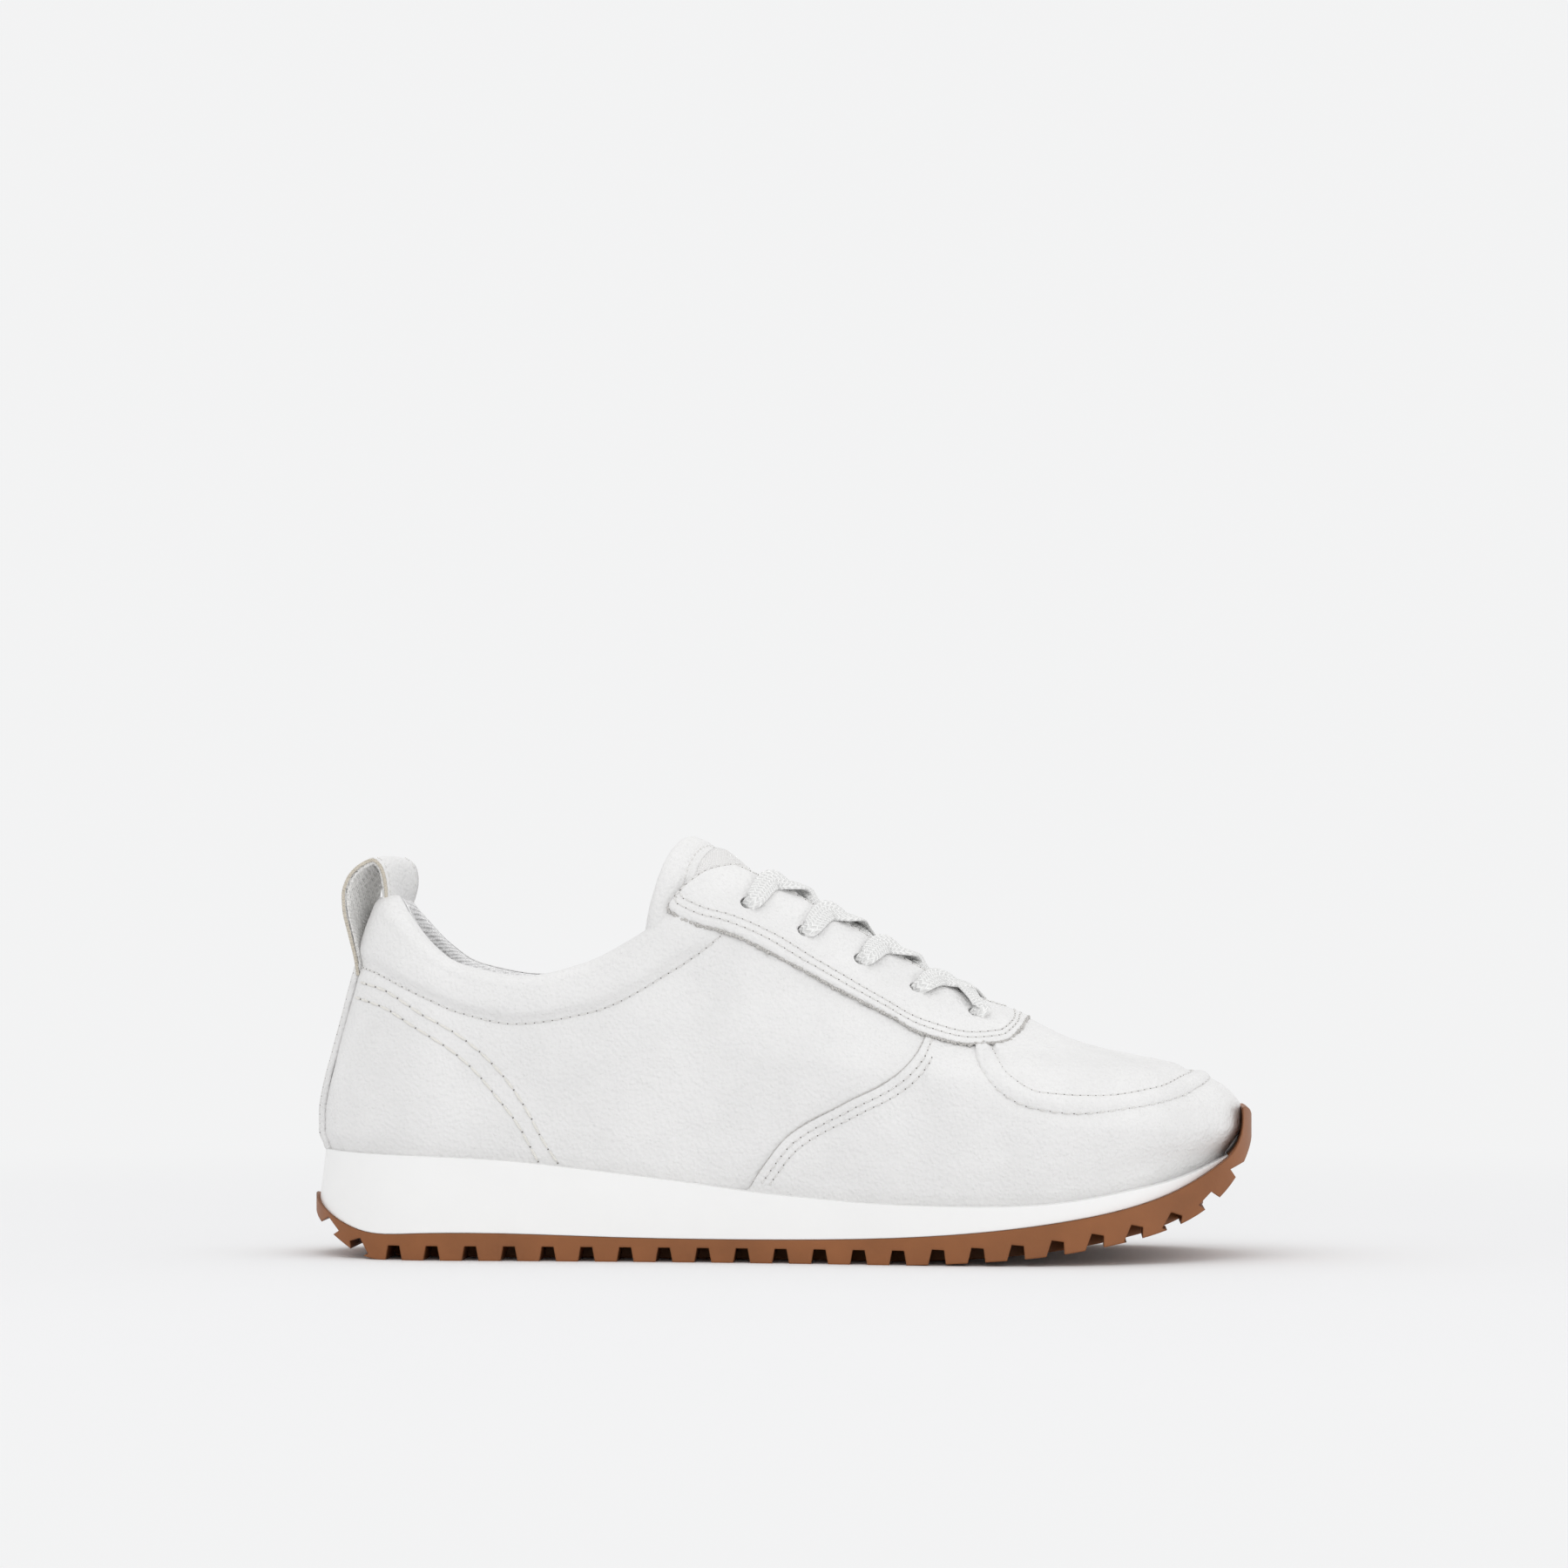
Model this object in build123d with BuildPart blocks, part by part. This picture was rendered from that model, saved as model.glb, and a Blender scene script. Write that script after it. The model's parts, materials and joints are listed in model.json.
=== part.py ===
from build123d import *
from math import cos, hypot, pi, radians, tan
import os

# A low court shoe for the right foot, EU 42: toe towards +X, outer side of the foot towards -Y.
# The origin is on the ground under the middle of the shoe. All sizes are millimetres.

# Sole
SOLE_REACH = 140.1  # heel and toe ends of the plain outline, from the middle
SOLE_HEEL_ROUND = 38  # length over which the outline narrows to the heel end
SOLE_TOE_ROUND = 66
OUTSOLE_GROW = 4.6  # how far the rubber stands out past the plain outline
MIDSOLE_FOOT = 5.2  # the same for the midsole, low down and high up
MIDSOLE_HEAD = 1.0
LUG_PITCH = 11.8
LUG_HEIGHT = 4.4
GROOVE_FLOOR = 3.6
GROOVE_MOUTH = 5.6
GROOVE_ENDS = (-137.5, 141)  # first groove, and where they stop
EDGE_LUG = 15  # depth of the edge lugs, in from the side of the sole
CHANNEL = 2.6  # groove between the edge lugs and the studs within
BUMPER_GAP = 0.15  # between the toe's leather and the rubber turned up over it

# Upper: each layer lies between two offsets from the face of the quarters, outward positive
LEATHER = (0, -1.3)
STIFFENER = (-1.6, -2.6)
LINING = (-2.9, -3.8)
OVERLAY = (1.6, 0.3)
COLLAR_FOAM = (-1.6, -4.9)
COLLAR_LINING = (-5.2, -6.1)
FOOT_ROOM = -4.5  # what lies within the linings
TONGUE_LEATHER = (-7.0, -8.1)
TONGUE_FOAM = (-8.4, -12.2)
TONGUE_LINING = (-12.5, -13.2)
TONGUE_LABEL = (-6.3, -6.8)
BOARD_THICK = 1.6
FOOTBED_THICK = 4.0
GAP = 0.1
REACH = 70  # half the length of every block cut across the shoe
TALL = 150
LONG = 160

# Half widths of the open throat, top to front
THROAT_REAR = 12.5
THROAT_MID = 10.5
THROAT_FRONT = 9
LINING_EASE = 3.5  # how much wider the throat is in the layers under the leather

# Heel strap
STRAP_WIDTH = 18
STRAP_LEATHER = 1.0
STRAP_WEBBING = 0.8

# Lacing
LACE = 1.8  # round stand-in for a flat lace 8 wide and 1.2 thick
EYELET = 4.8
LINING_HOLE = 8.6  # room for the lace to turn behind the eyelet
LACE_OVER = 3.8  # height of the lace's middle over the quarters
EDGE_RISE = 2.0  # how much higher it goes over the edge of the throat
CROSSING_LIFT = {1: 1.5, -1: -1.3}  # the half that starts on the inner side crosses over the other
LACE_UNDER = -5.6
AGLET = 2.6
AGLET_LENGTH = 20

# The eyelets on the face of the upper, front to back, as (x, z)
EYELETS = [(59.1, 74.0), (41.3, 81.6), (24.4, 90.4), (7.4, 99.2), (-9.8, 107.6)]

# Lines on the side of the shoe, as (x, z)
FEATHER = [(-146, 32.8), (-112, 31.5), (-83, 30.2), (-54, 27.2), (-25, 23.7), (-8, 21.4), (11, 19.6),
           (28, 18.3), (50, 17.6), (73, 17.8), (89, 19.1), (105, 21.8), (122, 25.6), (137, 31.4), (146, 35)]
INSTEP = [(132, 10), (132.5, 22), (134, 27), (136.6, 31.6), (140.0, 36.6), (141.1, 40), (140.8, 45.5),
          (137, 50.9), (131.4, 54.8), (121.8, 58.3), (110.8, 60.6), (97.6, 63.4), (88.7, 66.2),
          (77.7, 71.4), (64.5, 77.3), (55, 81.8), (45, 87.6), (35, 93.8), (25, 100.2), (15, 106.2),
          (5, 112), (-5, 117), (-15, 122), (-25, 127), (-37, 133)]
TOPLINE = [(-130, 112), (-125.5, 110.9), (-119, 105.6), (-107.6, 96.1), (-95.2, 89.4), (-76.6, 86.3),
           (-60, 89.8), (-44.6, 97.4), (-32.4, 106.2), (-25, 114.2), (-15.2, 119)]
COLLAR_LINE = [(-150, 92), (-128.9, 88.3), (-108.9, 80), (-96.5, 74.9), (-79.8, 71.6), (-56.7, 75.1),
               (-30.3, 88.6), (-22, 96), (-17.5, 106), (-15.5, 130)]
VAMP_SEAM = [(-12, 12), (-5.3, 26.7), (4.2, 38.5), (20.6, 47.9), (34.9, 55.5), (42.7, 63.3), (47, 74),
             (49, 95)]
APRON_SEAM = [(59, 80), (60.2, 61.9), (66.7, 52), (76.1, 47.1), (90.9, 45), (107.6, 46.6),
              (122.9, 49.8), (131, 54.1), (134.5, 62)]
EYESTAY_EDGE = [(-34, 106.8), (-27, 101.5), (-15.5, 98.6), (-2, 92.4), (17.4, 82.1), (31.6, 75.1), (45, 68.4),
                (59.1, 65.4), (68, 66), (73.6, 69.6), (75.4, 76), (75.6, 84)]
OUTSOLE_TOP = [(-146, 20.4), (-140.7, 15.1), (-133.2, 10.8), (-125.4, 8.3), (-112, 8), (-54.3, 7.5),
               (0.4, 7.1), (44.8, 8.6), (88.7, 13.5), (110.8, 18.3), (121.9, 22.4), (132.6, 28.3),
               (137.4, 31.8), (140, 35.6), (141.2, 40), (141.2, 45.8)]
GROUND_TOE = [(34, 0), (58, 0.9), (79.9, 2.7), (101.9, 6.2), (121.9, 11.8), (136.1, 21.3),
              (143.1, 32), (145, 40.5)]
BUMPER_TIP = (142.4, 46)
GROUND_HEEL = [(-120, 0), (-128.3, 1.9), (-135, 5.9), (-143, 12), (-146, 18)]


def through(points):
    """The smooth curve y(x) through some points: it has no overshoot, and is flat past the ends."""
    xs = [point[0] for point in points]
    ys = [point[1] for point in points]
    last = len(points) - 1
    steps = [xs[i + 1] - xs[i] for i in range(last)]
    rises = [(ys[i + 1] - ys[i]) / steps[i] for i in range(last)]
    inner = [0 if a * b <= 0 else 2 * a * b / (a + b) for a, b in zip(rises, rises[1:])]
    slopes = [rises[0], *inner, rises[-1]]

    def curve(x):
        x = min(max(x, xs[0]), xs[-1])
        i = max(k for k in range(last) if xs[k] <= x)
        t = (x - xs[i]) / steps[i]
        start = ys[i] * (1 + 2 * t) + steps[i] * slopes[i] * t
        end = ys[i + 1] * (3 - 2 * t) - steps[i] * slopes[i + 1] * (1 - t)
        return start * (1 - t) ** 2 + end * t ** 2

    return curve


def shifted(points, distance):
    """Each point of a line moved sideways, to the left of its travel."""
    moved = []
    for i, (x, z) in enumerate(points):
        before = points[max(i - 1, 0)]
        after = points[min(i + 1, len(points) - 1)]
        run = after[0] - before[0]
        rise = after[1] - before[1]
        length = hypot(run, rise)
        moved.append((x - distance * rise / length, z + distance * run / length))
    return moved


# The shape of the upper. Half widths along the shoe, outer and inner side of the foot
LATERAL = through([(-145, 29), (-110, 31.5), (-70, 33), (-30, 35), (10, 40), (50, 47), (80, 49), (110, 47),
                   (145, 42)])
MEDIAL = through([(-145, 29), (-110, 31), (-70, 31), (-30, 31.5), (10, 35.5), (50, 42.5), (75, 44.5),
                  (110, 42.5), (145, 38)])
# Share of that width by height above the feather line, where the upper is pinched in
SWELL = through([(-12, 0.94), (0, 0.955), (4, 0.98), (12, 1), (25, 1), (50, 0.965), (70, 0.92), (85, 0.86),
                 (100, 0.8)])
# Length over which a level section narrows to its front end, and the back line, by height
NOSE = through([(10, 60), (40, 62), (48, 78), (55, 95), (60, 110), (75, 122), (90, 95), (99, 74), (115, 58),
                (132, 48)])
HEEL = through([(10, -139.5), (28, -139.9), (33, -140.6), (38, -142.2), (44, -142.2), (50, -141.4),
                (64.6, -137.7), (72.3, -135.6), (86, -132), (93, -130), (100, -128), (111, -125.5), (132, -121)])
HEEL_ROUND = 36
FORM_LOW = 14
FORM_HIGH = 130
LEVELS = [22, 29, 36, 42, 47.5, 52, 56, 59.5, 63, 68, 75, 84, 92, 99, 105, 110, 115, 121]
SPARE = 2  # how much further a cutting form goes past both ends
feather = through(FEATHER)
ground = through([*reversed(GROUND_HEEL), *GROUND_TOE])


def middle(x):
    """The toe end of the shoe turns in towards the other foot."""
    return 7 * max(0, (x - 30) / 115) ** 2


def rounding(share, power):
    if share >= 1:
        return 1
    return (1 - (1 - max(share, 0)) ** power) ** (1 / power)


def ring(back, front, half_width, count=26):
    """Points of a closed level outline, closer together at its two ends."""
    points = []
    for k in range(count):
        x = back + (front - back) * (1 + cos(2 * pi * k / count)) / 2
        side = 1 if 2 * k < count else -1
        points.append(Vector(x, middle(x) + side * half_width(x, side)))
    return points


def even_curve(points):
    """A closed curve with its knots evenly spaced, so that stacked ones make a clean loft."""
    knots = [k / len(points) for k in range(len(points) + 1)]
    return Edge.make_spline(points, periodic=True, parameters=knots)


def side_width(x, side):
    return MEDIAL(x) if side > 0 else LATERAL(x)


def front_line(offset):
    return through([(z, x) for x, z in shifted(INSTEP, -offset)])


def half_width(x, z, side, offset, front):
    """Half width of the upper at a point of its side view."""
    width = side_width(x, side) * SWELL(z - feather(x)) + offset
    from_heel = rounding((x - HEEL(z) + offset) / (HEEL_ROUND + offset), 2.1)
    from_toe = rounding((front - x) / (NOSE(z) + offset), 2.15)
    return width * from_heel * from_toe


def level_ring(z, offset, front):
    return ring(HEEL(z) - offset, front, lambda x, side: half_width(x, z, side, offset, front))


def form(offset, spare=0):
    """The solid within the upper's face, moved out by an offset."""
    instep = front_line(offset)
    with BuildPart() as solid:
        for z in (FORM_LOW - spare, *LEVELS, FORM_HIGH + spare):
            front = instep(z)
            with BuildSketch(Plane.XY.offset(z)):
                with BuildLine():
                    add(even_curve(level_ring(z, offset, front)))
                make_face()
        loft()
    return solid.part


def skin(layer):
    """A layer all round the form."""
    outside, inside = layer
    with BuildPart() as shell:
        add(form(outside))
        add(form(inside, SPARE), mode=Mode.SUBTRACT)
    return shell.part


def side_block(curve, *corners):
    """A block right across the shoe: a smooth curve in side view, closed through some corners."""
    with BuildPart() as block:
        with BuildSketch(Plane.XZ):
            with BuildLine():
                Spline(*curve)
                Polyline(curve[-1], *corners, curve[0])
            make_face()
        extrude(amount=REACH, both=True)
    return block.part


def raised(points, height):
    return [(x, z + height) for x, z in points]


def over_feather(height=0):
    return side_block(raised(FEATHER, height), (LONG, TALL), (-LONG, TALL))


def save(piece, name):
    piece.label = name
    export_step(piece, f"parts/{name}.step")


def panel(name, shell, regions, cuts=()):
    """A piece of a layer: what lies in every region and in no cut."""
    with BuildPart() as piece:
        add(shell)
        for region in regions:
            add(region, mode=Mode.INTERSECT)
        for cut in cuts:
            add(cut, mode=Mode.SUBTRACT)
    save(piece.part, name)
    return piece.part


os.makedirs("parts", exist_ok=True)


# ---- Sole ----

def outline(grow, height, low=0):
    """A block with the outline of the sole, standing out by some growth."""
    end = SOLE_REACH + grow

    def width(x, side):
        toe = rounding((end - x) / SOLE_TOE_ROUND, 2.15)
        return (side_width(x, side) + grow) * rounding((x + end) / SOLE_HEEL_ROUND, 2.1) * toe

    with BuildPart() as block:
        with BuildSketch(Plane.XY.offset(low)):
            with BuildLine():
                Spline(*ring(-end, end, width), periodic=True)
            make_face()
        extrude(amount=height)
    return block


def grooves(shift=0):
    """Grooves across the sole, evenly spaced along the ground line and square to it, wider at the mouth."""
    x = GROOVE_ENDS[0] + shift
    with BuildPart() as cutters:
        with BuildSketch(Plane.XZ):
            while x < GROOVE_ENDS[1]:
                along = Vector(1, (ground(x + 0.5) - ground(x - 0.5))).normalized()
                with Locations(Location((x, ground(x)), Vector(1, 0).get_signed_angle(along))):
                    Polygon((-GROOVE_FLOOR / 2, LUG_HEIGHT), (GROOVE_FLOOR / 2, LUG_HEIGHT),
                            (GROOVE_MOUTH / 2, -1), (-GROOVE_MOUTH / 2, -1), align=None)
                x += LUG_PITCH * along.X
        extrude(amount=REACH, both=True)
    return cutters.part


core = outline(OUTSOLE_GROW - EDGE_LUG, TALL, -LUG_HEIGHT)
with BuildPart() as channel:
    add(core.part)
    add(outline(OUTSOLE_GROW - EDGE_LUG - CHANNEL, TALL, -LUG_HEIGHT).part, mode=Mode.SUBTRACT)
    floor = [(x, z + LUG_HEIGHT) for x, z in GROUND_TOE[:5]]
    add(side_block(floor, (floor[-1][0], -LUG_HEIGHT), (-120, -LUG_HEIGHT), (-120, LUG_HEIGHT)),
        mode=Mode.INTERSECT)

with BuildPart() as outsole:
    add(outline(OUTSOLE_GROW, TALL / 3).part)
    with BuildSketch(Plane.XZ):
        with BuildLine():
            Spline(*OUTSOLE_TOP)
            Line(OUTSOLE_TOP[-1], BUMPER_TIP)
            Spline(*GROUND_TOE, BUMPER_TIP, tangents=[(1, 0), (-1, 0.3)])
            Line(GROUND_TOE[0], GROUND_HEEL[0])
            Spline(*GROUND_HEEL, tangents=[(-1, 0), (-0.3, 1)])
            Line(GROUND_HEEL[-1], OUTSOLE_TOP[0])
        make_face()
    extrude(amount=REACH, both=True, mode=Mode.INTERSECT)
    with BuildPart(mode=Mode.PRIVATE) as edge_grooves:
        add(grooves())
        add(core.part, mode=Mode.SUBTRACT)
    with BuildPart(mode=Mode.PRIVATE) as inner_grooves:
        add(grooves(LUG_PITCH / 2))
        add(core.part, mode=Mode.INTERSECT)
    with BuildPart(mode=Mode.PRIVATE) as toe_room:
        add(form(BUMPER_GAP))
        add(side_block(FEATHER, (LONG, TALL), (-LONG, TALL)), mode=Mode.INTERSECT)
    for cutter in (edge_grooves, inner_grooves, channel, toe_room):
        add(cutter.part, mode=Mode.SUBTRACT)
save(outsole.part, "outsole")

with BuildPart() as midsole:
    with BuildSketch(Plane.XY.offset(2)):
        add(outline(MIDSOLE_FOOT, 1).faces().sort_by(Axis.Z)[0])
    with BuildSketch(Plane.XY.offset(38)):
        add(outline(MIDSOLE_HEAD, 1).faces().sort_by(Axis.Z)[0])
    loft(ruled=True)
    rubber_line = raised(OUTSOLE_TOP, GAP)
    add(side_block(rubber_line, (rubber_line[-1][0], 60), (-LONG, 60)), mode=Mode.INTERSECT)
    add(side_block(FEATHER, (LONG, -10), (-LONG, -10)), mode=Mode.INTERSECT)
save(midsole.part, "midsole")

inside = form(FOOT_ROOM)
board_top = GAP + BOARD_THICK
footbed_top = board_top + GAP + FOOTBED_THICK
panel("lasting_board", inside,
      [over_feather(GAP), side_block(raised(FEATHER, board_top), (LONG, 0), (-LONG, 0))])
panel("footbed", inside,
      [over_feather(board_top + GAP), side_block(raised(FEATHER, footbed_top), (LONG, 0), (-LONG, 0))])


# ---- Upper ----

def face_point(x, z, side, height=0):
    """A point over the face of the upper, and the way out of it."""
    front = front_line(0)

    def across(x, z):
        return middle(x) + side * half_width(x, z, side, 0, front(z))

    slope_x = (across(x + 1, z) - across(x - 1, z)) / 2
    slope_z = (across(x, z + 1) - across(x, z - 1)) / 2
    out = Vector(-side * slope_x, side, -side * slope_z).normalized()
    return Vector(x, across(x, z), z) + out * height, out


def below(curve, low=0):
    return side_block(curve, (LONG, curve[-1][1]), (LONG, low), (-LONG, low), (-LONG, curve[0][1]))


def slot(ease):
    """The throat: open from its round front end up to the collar."""
    with BuildPart() as opening:
        with BuildSketch(Plane.XY.offset(62)):
            with BuildLine():
                Spline((-70, THROAT_REAR + 6 + ease), (-20, THROAT_REAR + ease), (30, THROAT_MID + ease),
                       (56, THROAT_FRONT + ease), (67 + ease, 2), (56, 4 - THROAT_FRONT - ease),
                       (30, -THROAT_MID - ease), (-20, -THROAT_REAR - ease), (-70, -THROAT_REAR - 6 - ease))
                Line((-70, -THROAT_REAR - 6 - ease), (-70, THROAT_REAR + 6 + ease))
            make_face()
        extrude(amount=TALL)
    return opening.part


def eyelet_punches(diameter):
    """Pins through all ten eyelets."""
    with BuildPart() as punches:
        for x, z in EYELETS:
            for side in (-1, 1):
                centre, out = face_point(x, z, side)
                with BuildSketch(Plane(origin=centre - out * 8, z_dir=out)):
                    Circle(diameter / 2)
                extrude(amount=14)
    return punches.part


upper_base = over_feather(GAP)
below_topline = below(TOPLINE)
under_topline = below(raised(TOPLINE, -1.5))
collar_zone = side_block(COLLAR_LINE, (-40, TALL), (-LONG, TALL))
seam_front = side_block(VAMP_SEAM, (LONG, 95), (LONG, 12))
seam_rear = side_block(VAMP_SEAM, (49, TALL), (-LONG, TALL), (-LONG, 12))
apron_zone = side_block(APRON_SEAM, (134.5, 90), (59, 90))
throat = slot(0)
wide_throat = slot(LINING_EASE)
with BuildPart() as lateral_half:
    with Locations((0, -GAP / 2, 0)):
        Box(2 * LONG, REACH, TALL, align=(Align.CENTER, Align.MAX, Align.MIN))
with BuildPart() as medial_half:
    with Locations((0, GAP / 2, 0)):
        Box(2 * LONG, REACH, TALL, align=(Align.CENTER, Align.MIN, Align.MIN))
holes = eyelet_punches(EYELET)
lining_holes = eyelet_punches(LINING_HOLE)

leather = skin(LEATHER)
for name, half in (("quarter_lateral", lateral_half), ("quarter_medial", medial_half)):
    panel(name, leather, [upper_base, below_topline, seam_rear, half.part], [throat, holes])
panel("vamp", leather, [upper_base, seam_front], [apron_zone, throat, holes])
panel("apron", leather, [upper_base, apron_zone], [throat, holes])

eyestay_zone = side_block(EYESTAY_EDGE, (75.6, TALL), (-34, TALL))
panel("eyestay", skin(OVERLAY), [eyestay_zone, below_topline], [throat, holes])

stiffener = skin(STIFFENER)
behind_eyelets = side_block(raised(EYESTAY_EDGE, 3), (75.6, TALL), (-34, TALL))
panel("eyestay_reinforcement", stiffener, [behind_eyelets, under_topline], [collar_zone, wide_throat, holes])
counter_top = [(-LONG, 80), (-120, 76), (-92, 60), (-76, 40), (-68, 12)]
panel("heel_counter", stiffener, [upper_base, side_block(counter_top, (-LONG, 12))], [collar_zone])
puff_rear = [(92, 12), (97, 30), (103, 48), (109, 70)]
panel("toe_puff", stiffener, [upper_base, side_block(puff_rear, (LONG, 70), (LONG, 12))])

panel("collar_foam", skin(COLLAR_FOAM), [collar_zone, under_topline], [wide_throat, lining_holes])
panel("collar_lining", skin(COLLAR_LINING), [collar_zone, under_topline], [wide_throat, lining_holes])
lining = skin(LINING)
panel("quarter_lining", lining, [upper_base, seam_rear, under_topline],
      [collar_zone, wide_throat, lining_holes])
panel("vamp_lining", lining, [upper_base, seam_front], [wide_throat, lining_holes])

# ---- Tongue ----

TONGUE_END = [(-50, 88), (-40, 100), (-31, 112), (-24, 122), (-18, 134)]
TONGUE_BASE = 67
with BuildPart() as tongue_zone:
    with BuildSketch():
        with BuildLine():
            Spline((TONGUE_BASE, -17), (20, -22), (-30, -25), (-60, -25))
            Polyline((-60, -25), (-60, 25), (-30, 25))
            Spline((-30, 25), (20, 23), (TONGUE_BASE, 20))
            Line((TONGUE_BASE, 20), (TONGUE_BASE, -17))
        make_face()
    extrude(amount=TALL)
    add(side_block(TONGUE_END, (LONG, 134), (LONG, 60), (-50, 60)), mode=Mode.INTERSECT)
for name, layer in (("tongue_leather", TONGUE_LEATHER), ("tongue_foam", TONGUE_FOAM),
                    ("tongue_lining", TONGUE_LINING)):
    panel(name, skin(layer), [tongue_zone.part])
with BuildPart() as label_zone:
    with Locations((-16.5, 0, 110)):
        Box(13, 26, 40)
panel("tongue_label", skin(TONGUE_LABEL), [label_zone.part])

# ---- Heel strap ----

STRAP_FOOT = 33
LOOP_FOOT = 84
STRAP_ROOM = 3.6  # the strap is flat where the collar behind it is round
collar_inside = -COLLAR_LINING[1] + STRAP_LEATHER + STRAP_ROOM
loop_line = [(-133.3, LOOP_FOOT), (-134.3, 95), (-135.3, 105), (-134.6, 114), (-130.6, 120), (-126.3, 122.2),
             (-123.8, 120), (-122.6, 115), (HEEL(107) + collar_inside + 0.6, 107),
             (HEEL(101) + collar_inside, 101), (HEEL(95) + collar_inside, 95)]
with BuildPart() as strap_band:
    Box(2 * LONG, STRAP_WIDTH, TALL, align=(Align.MAX, Align.CENTER, Align.MIN))


def ribbon(line, thick, start=0):
    """A strap of even thickness along a side-view line, right across the heel."""
    with BuildPart() as strap:
        with BuildSketch(Plane.XZ):
            with BuildLine():
                inner = shifted(line, 0)[start:]
                outer = shifted(line, thick)[start:]
                Spline(*inner)
                Spline(*outer)
                Line(inner[0], outer[0])
                Line(inner[-1], outer[-1])
            make_face()
        extrude(amount=STRAP_WIDTH / 2, both=True)
    return strap.part


with BuildPart() as heel_strap:
    add(skin(OVERLAY))
    add(side_block([(-LONG, STRAP_FOOT), (-140, STRAP_FOOT), (-100, STRAP_FOOT)],
                   (-100, LOOP_FOOT + 4), (-LONG, LOOP_FOOT + 4)), mode=Mode.INTERSECT)
    add(strap_band.part, mode=Mode.INTERSECT)
    add(ribbon(loop_line, STRAP_LEATHER))
save(heel_strap.part, "heel_strap")
save(ribbon(shifted(loop_line, -GAP), -STRAP_WEBBING, 1), "heel_strap_webbing")

# ---- Lace ----

front_face = front_line(0)


def top_height(x, y, over):
    """Height of a point over the face of the upper, from its place in plan."""
    side = 1 if y > 0 else -1
    low = feather(x)
    high = 140
    while high - low > 0.01:
        z = (low + high) / 2
        if front_face(z) > x and half_width(x, z, side, 0, front_face(z)) > abs(y - middle(x)):
            low = z
        else:
            high = z
    return low + over


def lace_half(first_side):
    """The route of one half of the lace, from the middle of the front bar to its last eyelet."""
    side = first_side
    route = []
    for row, (x, z) in enumerate(EYELETS):
        centre, out = face_point(x, z, side)
        route.append(centre + out * LACE_OVER)
        route.append(centre + out * LACE_UNDER)
        if row == len(EYELETS) - 1:
            break
        next_x = EYELETS[row + 1][0]
        mid_x = (x + next_x) / 2
        under_y = side * (THROAT_MID + 1.5)
        lift = CROSSING_LIFT[first_side]
        route.append(Vector(x - 5, under_y, top_height(x - 5, under_y, LACE_UNDER)))
        route.append(Vector(mid_x, side * 4.5, top_height(mid_x, side * 4.5, -2.6 + lift)))
        route.append(Vector(mid_x - 3, -side * 4.5, top_height(mid_x - 3, side * 4.5, 0.6 + lift)))
        route.append(Vector(next_x + 3, -under_y, top_height(next_x + 3, -under_y, LACE_OVER + EDGE_RISE)))
        side = -side
    return route


def tube(route, diameter, name):
    """A round tube of straight runs joined by arcs as large as the runs allow. Returns its length."""
    radii = []
    for before, point, after in zip(route, route[1:], route[2:]):
        turn = (point - before).get_angle(after - point)
        radii.append(0.45 * min((point - before).length, (after - point).length) / tan(radians(turn) / 2))
    with BuildPart() as cord:
        with BuildLine() as path:
            FilletPolyline(*route, radius=radii)
        with BuildSketch(Plane(origin=path.line @ 0, z_dir=path.line % 0)):
            Circle(diameter / 2)
        sweep()
    save(cord.part, name)
    length = sum(edge.length for edge in path.edges())
    share = cord.part.volume / (pi * diameter ** 2 / 4 * length)
    print(f"{name}: length {length:.0f}, volume {share:.3f} of section times length")
    print("  arc radii", [round(radius, 1) for radius in radii])
    return length


BAR_ACROSS = (-18, -6, 8, 19)
bar_x = EYELETS[0][0] + 1
bar = [Vector(bar_x, y, top_height(bar_x, y, LACE_OVER)) for y in BAR_ACROSS]
lateral_side = lace_half(-1)
medial_side = lace_half(1)
tube([*reversed(lateral_side), *bar, *medial_side], LACE, "lace")


def inner_wall(x, z, side, deeper=0):
    """A point just within the lining."""
    return face_point(x, z, side, LACE_UNDER - deeper)[0]


TUCK_TURN = (1, 3.2)  # the last points leave the wall, so that the straight aglet clears it
TUCK = [(-14, 94), (-17, 82), (-17, 70), (-15, 58), (-9, 46), (2, 37), (16, 33), (30, 30.5), (44, 28.5),
        (57, 27.5)]
for name, side, last in (("lateral", -1, lateral_side[-1]), ("medial", 1, medial_side[-1])):
    end_route = [last]
    for x, z in TUCK[:-2]:
        end_route.append(inner_wall(x, z, side))
    for (x, z), deeper in zip(TUCK[-2:], TUCK_TURN):
        end_route.append(inner_wall(x, z, side, deeper))
    tube(end_route, LACE, f"lace_end_{name}")
    tip = end_route[-1]
    with BuildPart() as aglet:
        with BuildSketch(Plane(origin=tip, z_dir=tip - end_route[-2])):
            Circle(AGLET / 2)
        extrude(amount=AGLET_LENGTH)
    save(aglet.part, f"aglet_{name}")
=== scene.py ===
import bpy
import bmesh
import json
import numpy as np
from math import cos, pi, radians, sin
from mathutils import Matrix, Vector

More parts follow.
